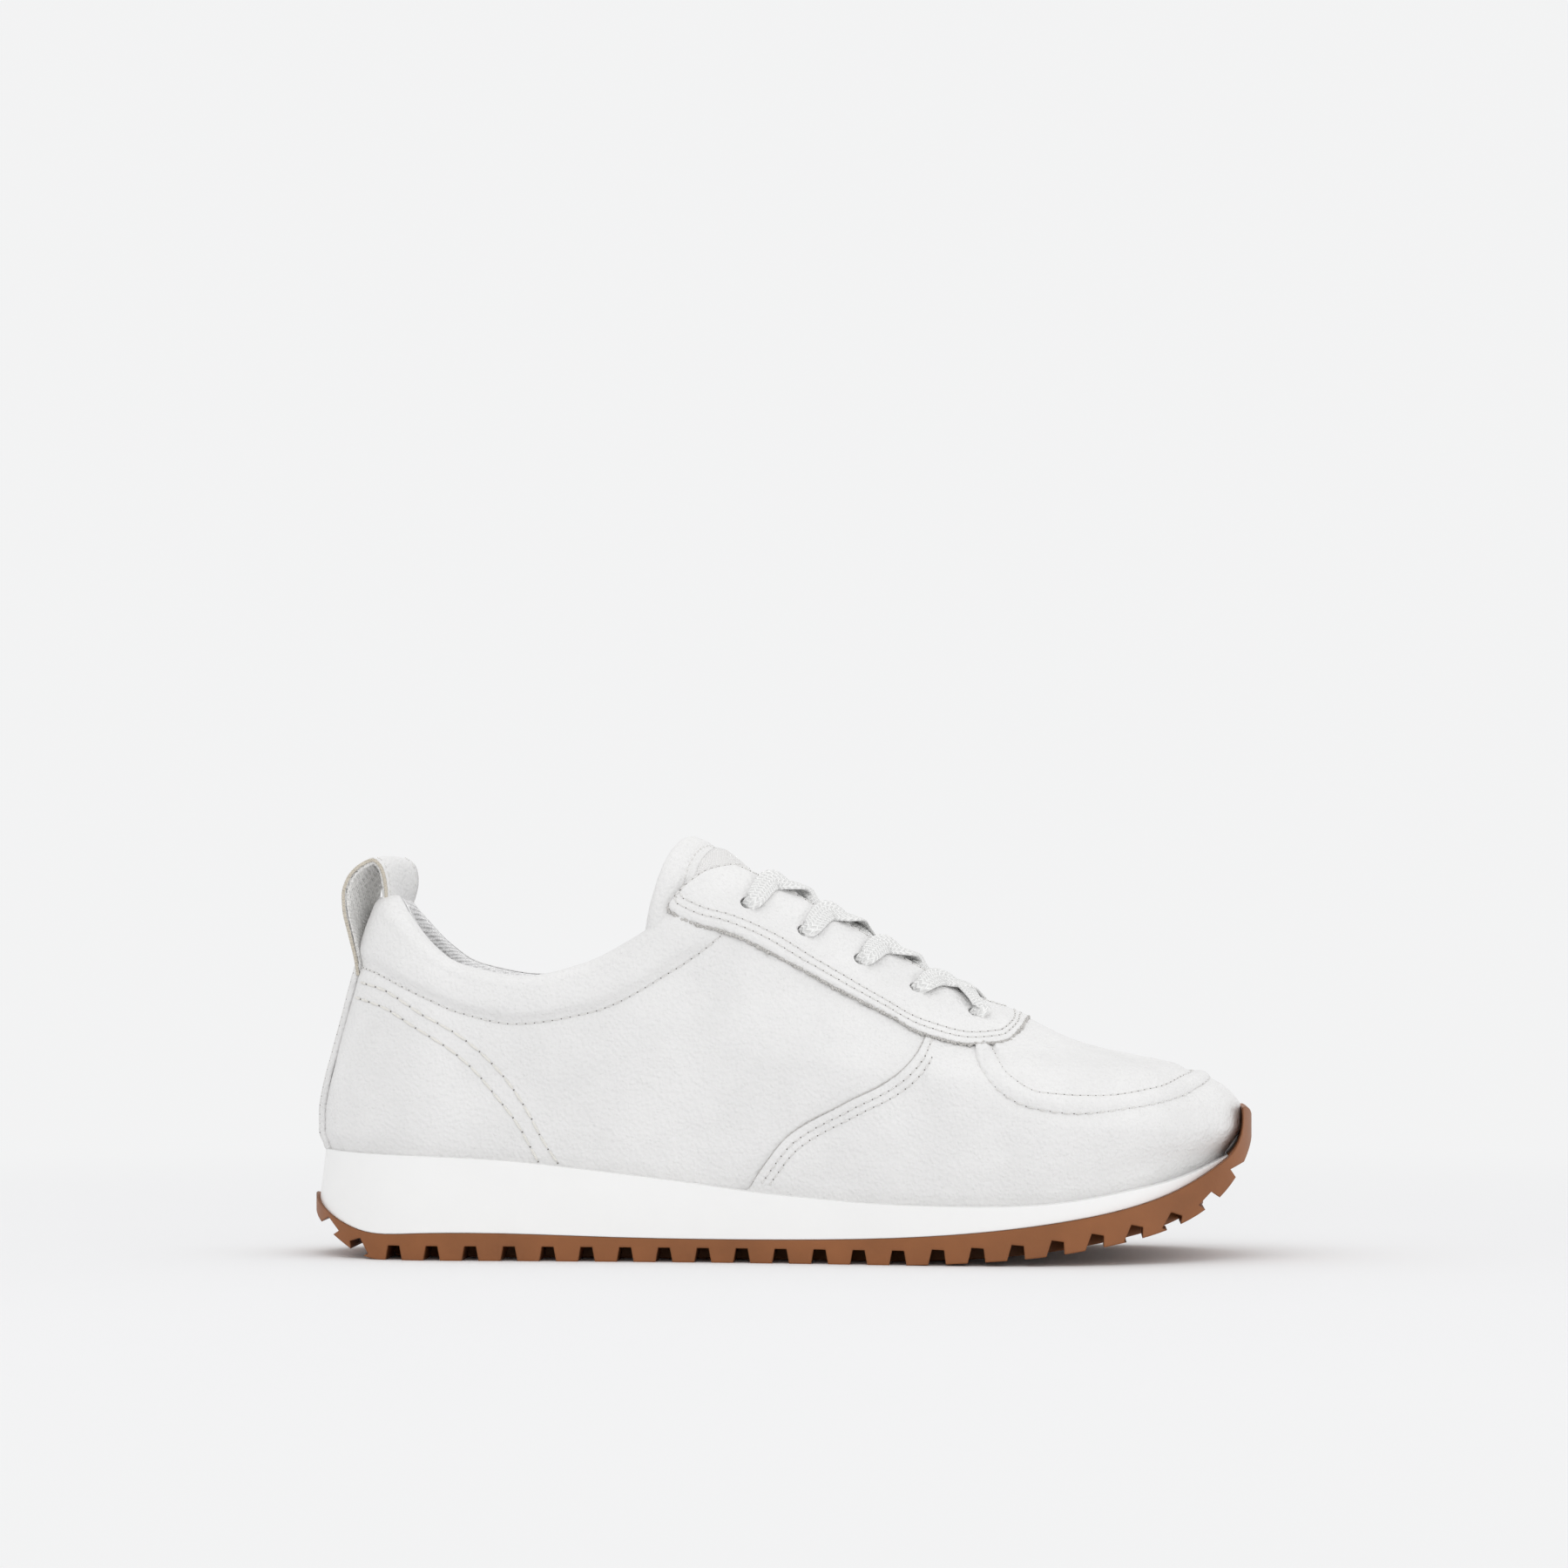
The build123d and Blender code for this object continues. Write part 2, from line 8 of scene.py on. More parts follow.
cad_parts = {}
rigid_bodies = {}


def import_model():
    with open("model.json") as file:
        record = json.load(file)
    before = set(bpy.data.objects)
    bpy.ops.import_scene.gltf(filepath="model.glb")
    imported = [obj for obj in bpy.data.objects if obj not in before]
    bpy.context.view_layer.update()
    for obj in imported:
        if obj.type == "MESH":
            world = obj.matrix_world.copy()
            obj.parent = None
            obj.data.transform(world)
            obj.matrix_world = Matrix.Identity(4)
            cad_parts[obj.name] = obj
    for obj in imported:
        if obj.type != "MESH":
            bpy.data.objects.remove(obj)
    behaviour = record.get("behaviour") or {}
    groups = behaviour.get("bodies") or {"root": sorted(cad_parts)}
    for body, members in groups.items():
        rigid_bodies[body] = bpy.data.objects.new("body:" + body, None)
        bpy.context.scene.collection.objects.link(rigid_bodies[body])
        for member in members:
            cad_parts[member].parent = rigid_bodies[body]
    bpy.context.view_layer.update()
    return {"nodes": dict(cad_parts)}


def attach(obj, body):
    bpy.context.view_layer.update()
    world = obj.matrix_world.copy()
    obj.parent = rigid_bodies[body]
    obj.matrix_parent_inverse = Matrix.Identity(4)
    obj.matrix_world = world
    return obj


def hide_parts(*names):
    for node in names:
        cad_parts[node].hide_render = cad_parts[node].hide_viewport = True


for default in list(bpy.data.objects):
    bpy.data.objects.remove(default)
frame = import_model()

MM = 0.001
LETTER = {-1: "l", 1: "m"}  # for names: the outer side of the foot, and the inner
LEATHER_THICK = 1.3
STITCH_PITCH = 2.7
STITCH = (1.9, 0.55, 0.5)  # length, width and height of a plain stitch
TUCKED = 0.6  # how far the walls go down behind the edge of the midsole
PAST_HEEL = -150
PAST_TOE = 150
VAMP_REAR = -12  # where the vamp's seam meets the midsole
VAMP_TOP = 47  # where it goes under the eyestay
APRON_REAR = 60
TONGUE_BASE = 65
# Everything below is worked out in millimetres, in the row frame, and scaled when it becomes a mesh.

# ---- Shape of the shoe: the same lines as the part's source ----

FEATHER = [(-146, 32.8), (-112, 31.5), (-83, 30.2), (-54, 27.2), (-25, 23.7), (-8, 21.4), (11, 19.6),
           (28, 18.3), (50, 17.6), (73, 17.8), (89, 19.1), (105, 21.8), (122, 25.6), (137, 31.4), (146, 35)]
INSTEP = [(132, 10), (132.5, 22), (134, 27), (136.6, 31.6), (140.0, 36.6), (141.1, 40), (140.8, 45.5),
          (137, 50.9), (131.4, 54.8), (121.8, 58.3), (110.8, 60.6), (97.6, 63.4), (88.7, 66.2),
          (77.7, 71.4), (64.5, 77.3), (55, 81.8), (45, 87.6), (35, 93.8), (25, 100.2), (15, 106.2),
          (5, 112), (-5, 117), (-15, 122), (-25, 127), (-37, 133)]
TOPLINE = [(-130, 111), (-125.5, 110.9), (-119, 105.6), (-107.6, 96.1), (-95.2, 89.4), (-76.6, 86.3),
           (-60, 89.8), (-44.6, 97.4), (-32.4, 106.2), (-25, 114.2), (-15.2, 119)]
COLLAR_LINE = [(-150, 92), (-128.9, 88.3), (-108.9, 80), (-96.5, 74.9), (-79.8, 71.6), (-56.7, 75.1),
               (-30.3, 88.6), (-17.6, 98), (-8, 108)]
VAMP_SEAM = [(-12, 17), (-8.5, 21.5), (-5.3, 26.7), (4.2, 38.5), (20.6, 47.9), (34.9, 55.5), (42.7, 63.3),
             (47, 74)]
APRON_SEAM = [(59, 64), (60.2, 61.9), (61.8, 57.9), (66.7, 52), (76.1, 47.1), (90.9, 45), (107.6, 46.6),
              (122.9, 49.8), (131, 54), (134.5, 55)]
INNER_SEAM = [(62, 70), (65, 64.6), (69.6, 57.4), (79.9, 51.7), (97.6, 50.6), (115.1, 52.8), (124.6, 56.3),
              (127, 57)]
# Round the eyestay: its outer edge in side view, and how far along the throat each point faces
EYESTAY = [(-15.2, 119.0, -12.5), (-24, 115.3, -12), (-31, 108.6, -11), (-33.0, 106.0, -10), (-27, 101.8, -7),
           (-15.5, 98.6, -2), (-2, 92.4, 6), (17.4, 82.1, 22), (31.6, 75.1, 34), (45, 68.4, 46),
           (59.1, 65.4, 56), (68, 66, 62), (73.6, 69.6, 65.5), (75.4, 72.6, 66.9)]
EYELETS = [(59.1, 74.0), (41.3, 81.6), (24.4, 90.4), (7.4, 99.2), (-9.8, 107.6)]


def through(points):
    """The smooth curve y(x) through some points: it has no overshoot, and is flat past the ends."""
    xs = np.array([p[0] for p in points], float)
    ys = np.array([p[1] for p in points], float)
    steps = np.diff(xs)
    rises = np.diff(ys) / steps
    slopes = np.empty(len(xs))
    slopes[0] = rises[0]
    slopes[-1] = rises[-1]
    a, b = rises[:-1], rises[1:]
    total = np.where(a + b == 0, 1, a + b)
    slopes[1:-1] = np.where(a * b <= 0, 0, 2 * a * b / total)

    def curve(x):
        x = np.clip(x, xs[0], xs[-1])
        i = np.clip(np.searchsorted(xs, x, side="right") - 1, 0, len(steps) - 1)
        t = (x - xs[i]) / steps[i]
        start = ys[i] * (1 + 2 * t) + steps[i] * slopes[i] * t
        end = ys[i + 1] * (3 - 2 * t) - steps[i] * slopes[i + 1] * (1 - t)
        return start * (1 - t) ** 2 + end * t ** 2

    return curve


def through_space(points):
    """The smooth curve through points of any dimension, by share of its length."""
    points = np.array(points, float)
    steps = np.linalg.norm(np.diff(points, axis=0), axis=1)
    knots = np.concatenate([[0], np.cumsum(steps)])
    knots /= knots[-1]
    parts = [through(list(zip(knots, points[:, k]))) for k in range(points.shape[1])]
    return lambda share: np.stack([part(share) for part in parts], axis=-1)


LATERAL = through([(-145, 29), (-110, 31.5), (-70, 33), (-30, 35), (10, 40), (50, 47), (80, 49), (110, 47),
                   (145, 42)])
MEDIAL = through([(-145, 29), (-110, 31), (-70, 31), (-30, 31.5), (10, 35.5), (50, 42.5), (75, 44.5),
                  (110, 42.5), (145, 38)])
SWELL = through([(-12, 0.94), (0, 0.955), (4, 0.98), (12, 1), (25, 1), (50, 0.965), (70, 0.92), (85, 0.86),
                 (100, 0.8)])
NOSE = through([(10, 60), (40, 62), (48, 78), (55, 95), (60, 110), (75, 122), (90, 95), (99, 74), (115, 58),
                (132, 48)])
HEEL = through([(10, -139.5), (28, -139.9), (33, -140.6), (38, -142.2), (44, -142.2), (50, -141.4),
                (64.6, -137.7), (72.3, -135.6), (86, -132), (93, -130), (100, -128), (111, -125.5),
                (132, -121)])
HEEL_ROUND = 36
feather = through(FEATHER)
topline = through(TOPLINE)
collar_line = through(COLLAR_LINE)
vamp_seam = through(VAMP_SEAM)
apron_seam = through(APRON_SEAM)
inner_seam = through(INNER_SEAM)
eyestay_edge = through([(x, z) for x, z, _ in EYESTAY[3:]])


def middle(x):
    """The line along the middle of the shoe, which bends to the inner side at the toe."""
    return 7 * np.maximum(0, (x - 30) / 115) ** 2


def rounding(share, power):
    """The share of the full width that is left near a rounded end."""
    share = np.clip(share, 0, 1)
    return (1 - (1 - share) ** power) ** (1 / power)


def front_line(offset):
    points = np.array(INSTEP, float)
    along = np.empty_like(points)
    along[1:-1] = points[2:] - points[:-2]
    along[0] = points[1] - points[0]
    along[-1] = points[-1] - points[-2]
    along /= np.linalg.norm(along, axis=1)[:, None]
    moved = points + offset * np.stack([along[:, 1], -along[:, 0]], axis=1)
    return through([(z, x) for x, z in moved])


def half_width(x, z, side, offset, front):
    width = np.where(side > 0, MEDIAL(x), LATERAL(x)) * SWELL(z - feather(x)) + offset
    from_heel = rounding((x - HEEL(z) + offset) / (HEEL_ROUND + offset), 2.1)
    from_toe = rounding((front(z) - x) / (NOSE(z) + offset), 2.15)
    return width * from_heel * from_toe


def reach(origin, way, offset):
    """How far out along each ray the upper's face lies, moved out by an offset."""
    front = front_line(offset)
    low = np.zeros(origin.shape[:-1])
    high = np.full(origin.shape[:-1], 130.0)
    for _ in range(20):
        half = (low + high) / 2
        x, y, z = np.moveaxis(origin + way * half[..., None], -1, 0)
        across = y - middle(x)
        within = (np.abs(across) < half_width(x, z, across, offset, front)) & (z < 131)
        low = np.where(within, half, low)
        high = np.where(within, high, half)
    return low


class Skin:
    """Rays out to the upper's face. at(h) gives the points at height h over it."""

    def __init__(self, origin, way):
        self.origin = np.broadcast_to(origin, np.broadcast(origin, way).shape).astype(float)
        self.way = np.broadcast_to(way, self.origin.shape).astype(float)
        self.base = reach(self.origin, self.way, 0)
        self.rate = np.clip(reach(self.origin, self.way, 0.5) - self.base, 0.4, 1.6) / 0.5

    def at(self, height=0.0):
        height = np.broadcast_to(height, self.base.shape)
        return self.origin + self.way * (self.base + self.rate * height)[..., None]

    def parts(self):
        return self.origin, self.way, self.base, self.rate


def known(parts):
    """Rays whose reach was worked out before."""
    skin = Skin.__new__(Skin)
    skin.origin, skin.way, skin.base, skin.rate = parts
    return skin


def one_row(skin, row=0):
    return known([part[row] for part in skin.parts()])


def stacked(first, second):
    return known([np.concatenate(pair) for pair in zip(first.parts(), second.parts())])


def smooth(x, low, high):
    """A smooth step from 0 at one value to 1 at another."""
    t = np.clip((x - low) / (high - low), 0, 1)
    return t * t * (3 - 2 * t)


def noise(points, size, seed):
    """Soft bumps with no repeats, between -1 and 1, from a few waves in odd directions."""
    rng = np.random.default_rng(seed)
    total = np.zeros(points.shape[:-1])
    for k in range(7):
        way = rng.normal(size=3)
        way *= (0.7 + 0.16 * k) / np.linalg.norm(way)
        total += np.sin(points @ way * (2 * pi / size) + rng.uniform(0, 6.28))
    return total / 4


# ---- Meshes ----

def link(mesh, name, material, body):
    obj = bpy.data.objects.new(name, mesh)
    bpy.context.scene.collection.objects.link(obj)
    for one in material if isinstance(material, (list, tuple)) else [material]:
        mesh.materials.append(one)
    if body:
        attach(obj, body)
    return obj


def piece(mesh, name, look, body, slot, *nodes):
    """A linked mesh that stands for nodes of the part and has one material slot."""
    obj = link(mesh, name, look, body)
    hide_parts(*nodes)
    return obj


def mesh_from(points, faces):
    mesh = bpy.data.meshes.new("piece")
    mesh.from_pydata((np.reshape(points, (-1, 3)) * MM).tolist(), [], [list(map(int, f)) for f in faces])
    mesh.validate()
    bm = bmesh.new()
    bm.from_mesh(mesh)
    bmesh.ops.remove_doubles(bm, verts=bm.verts, dist=2e-6)
    bmesh.ops.recalc_face_normals(bm, faces=bm.faces)
    bm.to_mesh(mesh)
    bm.free()
    mesh.polygons.foreach_set("use_smooth", [True] * len(mesh.polygons))
    return mesh


def grid_faces(rows, columns, wrap=False, first=0):
    """Faces of a grid of points, closed round its columns if asked."""
    faces = []
    last = columns if wrap else columns - 1
    for i in range(rows - 1):
        for j in range(last):
            k = (j + 1) % columns
            faces.append((first + i * columns + j, first + i * columns + k,
                          first + (i + 1) * columns + k, first + (i + 1) * columns + j))
    return faces


def closed_sheet(top, low):
    """A closed piece between two grids of points."""
    rows, columns = top.shape[:2]
    count = rows * columns
    faces = grid_faces(rows, columns)
    faces += [f[::-1] for f in grid_faces(rows, columns, first=count)]
    border = [(0, k) for k in range(columns)] + [(k, columns - 1) for k in range(1, rows)]
    border += [(rows - 1, k) for k in range(columns - 2, -1, -1)] + [(k, 0) for k in range(rows - 2, 0, -1)]
    loop = [r * columns + c for r, c in border]
    for a, b in zip(loop, loop[1:] + loop[:1]):
        faces.append((a, b, b + count, a + count))
    return mesh_from(np.concatenate([top.reshape(-1, 3), low.reshape(-1, 3)]), faces)


def sheet_of(skin, outer, thick, edge=0.5):
    """A closed sheet over a grid of rays, its edges rounded a little: outer heights, and thickness."""
    rows, columns = skin.base.shape
    i = np.arange(rows)[:, None]
    j = np.arange(columns)[None, :]
    rim = (i == 0) | (i == rows - 1) | (j == 0) | (j == columns - 1)
    return closed_sheet(skin.at(outer - np.where(rim, edge, 0)), skin.at(outer - thick))


def beads(name, centres, along, out, size, material, body, segments=8, rings=5):
    """Many small rounded bars: one at each centre, lying along one way with another way up."""
    centres, along, out = np.array(centres), np.array(along, float), np.array(out, float)
    along /= np.linalg.norm(along, axis=1)[:, None]
    out -= along * np.sum(along * out, axis=1)[:, None]
    out /= np.linalg.norm(out, axis=1)[:, None]
    across = np.cross(out, along)
    unit = [(-1, 0, 0)]
    for r in range(1, rings):
        turn = pi * r / rings
        for s in range(segments):
            spin = 2 * pi * s / segments
            unit.append((-cos(turn), sin(turn) ** 0.6 * cos(spin), sin(turn) ** 0.6 * sin(spin)))
    unit.append((1, 0, 0))
    unit = np.array(unit)
    length, width, height = size
    points = (centres[:, None, :] + unit[None, :, 0:1] * along[:, None, :] * length / 2
              + unit[None, :, 1:2] * across[:, None, :] * width / 2
              + unit[None, :, 2:3] * out[:, None, :] * height / 2)
    one = []
    end = len(unit) - 1
    for s in range(segments):
        k = (s + 1) % segments
        one.append((0, 1 + k, 1 + s))
        one.append((end, end - segments + s, end - segments + k))
        for r in range(rings - 2):
            a = 1 + r * segments
            one.append((a + s, a + k, a + segments + k, a + segments + s))
    faces = [[v + b * len(unit) for v in f] for b in range(len(centres)) for f in one]
    mesh = bpy.data.meshes.new(name)
    mesh.from_pydata((points.reshape(-1, 3) * MM).tolist(), [], faces)
    mesh.polygons.foreach_set("use_smooth", [True] * len(mesh.polygons))
    return link(mesh, name, material, body)


def spaced(line, pitch):
    """Places along a polyline at even spacing, as shares of its index."""
    steps = np.linalg.norm(np.diff(line, axis=0), axis=1)
    run = np.concatenate([[0], np.cumsum(steps)])
    count = int(run[-1] / pitch)
    where = (np.arange(count) + 0.5) * run[-1] / count
    return np.interp(where, run, np.arange(len(line)))


def pick(line, index):
    """Points of a polyline at places between its own."""
    low = np.clip(np.floor(index).astype(int), 0, len(line) - 2)
    t = (index - low)[:, None]
    return line[low] * (1 - t) + line[low + 1] * t


def stitches(name, skin_line, height, pitch=STITCH_PITCH, size=STITCH, thread=None, lean=0.0):
    """A row of stitches on a line of rays, each sunk a little into the leather, with its needle holes drawn
    as small dark beads: painted shade where the holes would hold shadow.
    """
    on = skin_line.at(height)
    over = skin_line.at(np.asarray(height) + 1)
    index = spaced(on, pitch)
    centre = pick(on, index)
    out = pick(over, index) - centre
    along = pick(on, np.minimum(index + 0.3, len(on) - 1)) - pick(on, np.maximum(index - 0.3, 0))
    along /= np.linalg.norm(along, axis=1)[:, None]
    out /= np.linalg.norm(out, axis=1)[:, None]
    across = np.cross(out, along)
    length, width, thick = size
    beads(name, centre + out * thick * 0.1, along + across * lean, out, size, thread or thread_white, "shoe")
    # Needle holes: small dark beads laid on the leather at the ends of each stitch, as painted shade for the
    # hollow of each hole.
    ends = centre + along * pitch / 2
    hole = ((pitch - length) * 0.45 + 0.1, width * 0.75, 0.3)
    beads(name + "_holes", ends + out * 0.02, along, out, hole, hole_shade_paint, "shoe", 6, 4)


def rough_edge(name, skin_line, height, size, spread):
    """The cut edge of leather, its fibres lying a little unevenly along a line of rays."""
    rng = np.random.default_rng(5)
    on = skin_line.at(height)
    index = spaced(on, 0.5)
    centres = pick(on, index) + rng.normal(0, spread, (len(index), 3))
    out = pick(skin_line.at(np.asarray(height) + 1.0), index) - pick(on, index)
    along = pick(on, np.minimum(index + 0.4, len(on) - 1)) - pick(on, np.maximum(index - 0.4, 0))
    along += rng.normal(0, 3 * spread, along.shape) * np.linalg.norm(along, axis=1)[:, None]
    beads(name, centres, along, out, size, raw_edge, "shoe", 6, 4)


# ---- Materials ----

def material(name, colour, rough=0.5, spec=0.4):
    mat = bpy.data.materials.new(name)
    mat.use_nodes = True
    nodes, links = mat.node_tree.nodes, mat.node_tree.links
    shader = nodes["Principled BSDF"]
    shader.inputs["Base Color"].default_value = (*colour, 1)
    shader.inputs["Roughness"].default_value = rough
    shader.inputs["Specular IOR Level"].default_value = spec
    return mat, nodes, links, shader


def maths(nodes, links, operation, *values):
    """A Math node. Numbers are set on its inputs, and outputs of other nodes are linked to them."""
    node = nodes.new("ShaderNodeMath")
    node.operation = operation
    for socket, value in zip(node.inputs, values):
        if isinstance(value, (int, float)):
            socket.default_value = value
        else:
            links.new(value, socket)
    return node.outputs[0]


def coordinates(nodes):
    return nodes.new("ShaderNodeTexCoord").outputs["Object"]


def noise_node(nodes, links, vector, scale, detail=4.0, rough=0.5):
    node = nodes.new("ShaderNodeTexNoise")
    node.inputs["Scale"].default_value = scale
    node.inputs["Detail"].default_value = detail
    node.inputs["Roughness"].default_value = rough
    links.new(vector, node.inputs["Vector"])
    return node.outputs["Fac"]


def tint(nodes, links, factor, low, high, shader, clamp=(0.3, 0.7)):
    ramp = nodes.new("ShaderNodeValToRGB")
    ramp.color_ramp.elements[0].position = clamp[0]
    ramp.color_ramp.elements[0].color = (*low, 1)
    ramp.color_ramp.elements[1].position = clamp[1]
    ramp.color_ramp.elements[1].color = (*high, 1)
    links.new(factor, ramp.inputs["Fac"])
    links.new(ramp.outputs["Color"], shader.inputs["Base Color"])
    return ramp


def bump(nodes, links, height, shader, distance, strength=1.0, before=None):
    node = nodes.new("ShaderNodeBump")
    node.inputs["Distance"].default_value = distance * MM
    node.inputs["Strength"].default_value = strength
    links.new(height, node.inputs["Height"])
    if before is not None:
        links.new(before.outputs["Normal"], node.inputs["Normal"])
    links.new(node.outputs["Normal"], shader.inputs["Normal"])
    return node


def leather(name, colour, grain, depth):
    """Full grain leather: small pebbles, pores and a few soft creases."""
    mat, nodes, links, shader = material(name, colour, 0.5, 0.35)
    where = coordinates(nodes)
    blotch = noise_node(nodes, links, where, 45, 5)
    dark = tuple(c * 0.93 for c in colour)
    tint(nodes, links, blotch, dark, colour, shader)
    pebble = nodes.new("ShaderNodeTexVoronoi")
    pebble.feature = "SMOOTH_F1"
    pebble.inputs["Scale"].default_value = grain
    pebble.inputs["Smoothness"].default_value = 0.6
    warp = nodes.new("ShaderNodeMixRGB")
    warp.inputs["Fac"].default_value = 0.0015
    twist = nodes.new("ShaderNodeTexNoise")
    twist.inputs["Scale"].default_value = 300
    links.new(where, twist.inputs["Vector"])
    links.new(where, warp.inputs["Color1"])
    links.new(twist.outputs["Color"], warp.inputs["Color2"])
    links.new(warp.outputs["Color"], pebble.inputs["Vector"])
    first = bump(nodes, links, pebble.outputs["Distance"], shader, depth)
    first.invert = True
    fine = noise_node(nodes, links, where, 2200, 3)
    second = bump(nodes, links, fine, shader, depth * 0.5, 1.0, first)
    crease = noise_node(nodes, links, where, 130, 6, 0.6)
    bump(nodes, links, crease, shader, 0.22, 0.8, second)
    return mat


def cloth(name, colour, pitch, depth, diagonal=False, rough=0.9, shade=0.86):
    """Woven or knitted fabric: crossing waves at the thread's pitch, and fluff; the colour is darker in the
    hollows of the waves, as painted shade.
    """
    mat, nodes, links, shader = material(name, colour, rough, 0.15)
    where = coordinates(nodes)
    turn = nodes.new("ShaderNodeMapping")
    turn.inputs["Rotation"].default_value = (0.3, 0.2, 0.785 if diagonal else 0.05)
    links.new(where, turn.inputs["Vector"])
    waves = []
    for way in ("X", "Y", "Z"):
        wave = nodes.new("ShaderNodeTexWave")
        wave.bands_direction = way
        wave.inputs["Scale"].default_value = 0.314 / (pitch * MM)
        wave.inputs["Distortion"].default_value = 0.8
        wave.inputs["Detail"].default_value = 2
        links.new(turn.outputs["Vector"], wave.inputs["Vector"])
        waves.append(wave.outputs["Fac"])
    total = maths(nodes, links, "ADD", maths(nodes, links, "ADD", waves[0], waves[1]), waves[2])
    first = bump(nodes, links, total, shader, depth)
    fluff = noise_node(nodes, links, where, 1500, 4)
    bump(nodes, links, fluff, shader, depth * 0.8, 0.7, first)
    # Painted shade: the colour follows the height of the waves, darker in their hollows.
    share = maths(nodes, links, "MULTIPLY", total, 0.333)
    tint(nodes, links, share, tuple(c * shade for c in colour), colour, shader, (0.15, 0.65))
    shader.inputs["Sheen Weight"].default_value = 0.2
    return mat


def moulded(name, colour, rough, wear, grain=700, depth=0.05, rounded=0.5):
    """Moulded rubber or foam: faint mottling, a fine tooth, and scuffs."""
    mat, nodes, links, shader = material(name, colour, rough, 0.3)
    where = coordinates(nodes)
    blotch = noise_node(nodes, links, where, 60, 6)
    tint(nodes, links, blotch, tuple(c * (1 - wear) for c in colour), colour, shader)
    tooth = noise_node(nodes, links, where, grain, 5)
    edge = nodes.new("ShaderNodeBevel")
    edge.samples = 6
    edge.inputs["Radius"].default_value = rounded * MM
    made = bump(nodes, links, tooth, shader, depth)
    links.new(edge.outputs["Normal"], made.inputs["Normal"])
    return mat


def lace_weave():
    """Flat tubular weave: herringbone ribs that meet along the middle, laid by the ribbon's own map; the low
    parts of the ribs are painted darker, as painted shade.
    """
    mat, nodes, links, shader = material("lace_weave", (0.86, 0.86, 0.85), 0.85, 0.15)
    uv = nodes.new("ShaderNodeUVMap")
    uv.uv_map = "weave"
    split = nodes.new("ShaderNodeSeparateXYZ")
    links.new(uv.outputs["UV"], split.inputs["Vector"])
    fold = maths(nodes, links, "PINGPONG", split.outputs["X"], 1.0)
    slope = maths(nodes, links, "MULTIPLY", fold, 1.1)
    total = maths(nodes, links, "ADD", slope, split.outputs["Y"])
    ribs = maths(nodes, links, "SINE", maths(nodes, links, "MULTIPLY", total, 2 * pi / 1.5))
    rows = maths(nodes, links, "COSINE", maths(nodes, links, "MULTIPLY", split.outputs["X"], 2 * pi / 1.6))
    height = maths(nodes, links, "ADD", ribs, maths(nodes, links, "MULTIPLY", rows, 0.5))
    first = bump(nodes, links, height, shader, 0.17, 0.9)
    fluff = noise_node(nodes, links, coordinates(nodes), 2500, 3)
    bump(nodes, links, fluff, shader, 0.1, 0.6, first)
    # Painted shade: the colour follows the ribs' height, darker in the low parts between them.
    share = maths(nodes, links, "MULTIPLY_ADD", height, 0.33, 0.5)
    tint(nodes, links, share, (0.74, 0.738, 0.73), (0.9, 0.9, 0.89), shader, (0.1, 0.6))
    return mat


white_leather = leather("white_leather", (0.82, 0.815, 0.81), 850, 0.3)
apron_leather = leather("apron_leather", (0.82, 0.815, 0.81), 780, 0.32)
raw_edge = cloth("raw_edge", (0.8, 0.78, 0.75), 0.5, 0.2)
knit = cloth("lining_knit", (0.94, 0.935, 0.935), 1.1, 0.2, True, shade=0.9)
backing = cloth("backing_weave", (0.6, 0.6, 0.6), 0.7, 0.15)
webbing = cloth("webbing_weave", (0.9, 0.89, 0.87), 1.1, 0.25)
tan_edge = cloth("tan_edge", (0.72, 0.66, 0.56), 0.6, 0.15)
footbed_cloth = cloth("footbed_knit", (0.8, 0.79, 0.78), 0.9, 0.15, True)
label_cloth = cloth("label_weave", (0.9, 0.89, 0.88), 0.45, 0.1)
thread_white = cloth("thread_white", (0.88, 0.87, 0.85), 0.35, 0.08, shade=0.94)
thread_cream = cloth("thread_cream", (0.92, 0.9, 0.85), 0.35, 0.08, shade=0.94)
# Needle holes: a dark colour that stands in for the shade inside each hole (painted shade).
hole_shade_paint = cloth("painted_hole_shade", (0.2, 0.18, 0.16), 0.3, 0.05)
foam_white = moulded("midsole_foam", (0.87, 0.868, 0.862), 0.45, 0.02, 500, 0.04)
gum_rubber = moulded("gum_rubber", (0.285, 0.105, 0.036), 0.5, 0.2, 600, 0.07, 0.9)
board_fibre = moulded("board_fibre", (0.5, 0.43, 0.35), 0.8, 0.15)
aglet_film = moulded("aglet_film", (0.8, 0.8, 0.8), 0.2, 0.05)
lace_cloth = lace_weave()


def give(node, mat):
    """A CAD piece whose shape is right gets a better material."""
    obj = frame["nodes"][node]
    obj.data.materials.clear()
    obj.data.materials.append(mat)


give("midsole", foam_white)
give("outsole", gum_rubber)
give("lasting_board", board_fibre)
give("footbed", footbed_cloth)
for node in ("heel_counter", "toe_puff"):
    give(node, board_fibre)
give("collar_foam", foam_white)
for node in ("quarter_lining", "vamp_lining"):
    give(node, knit)
give("eyestay_reinforcement", backing)
for node in ("aglet_lateral", "aglet_medial"):
    give(node, aglet_film)
for node in ("lace_end_lateral", "lace_end_medial"):
    give(node, lace_cloth)


# ---- Stations round the shoe, for the walls of the upper ----

HEEL_CENTRE = -100
TOE_CENTRE = 90


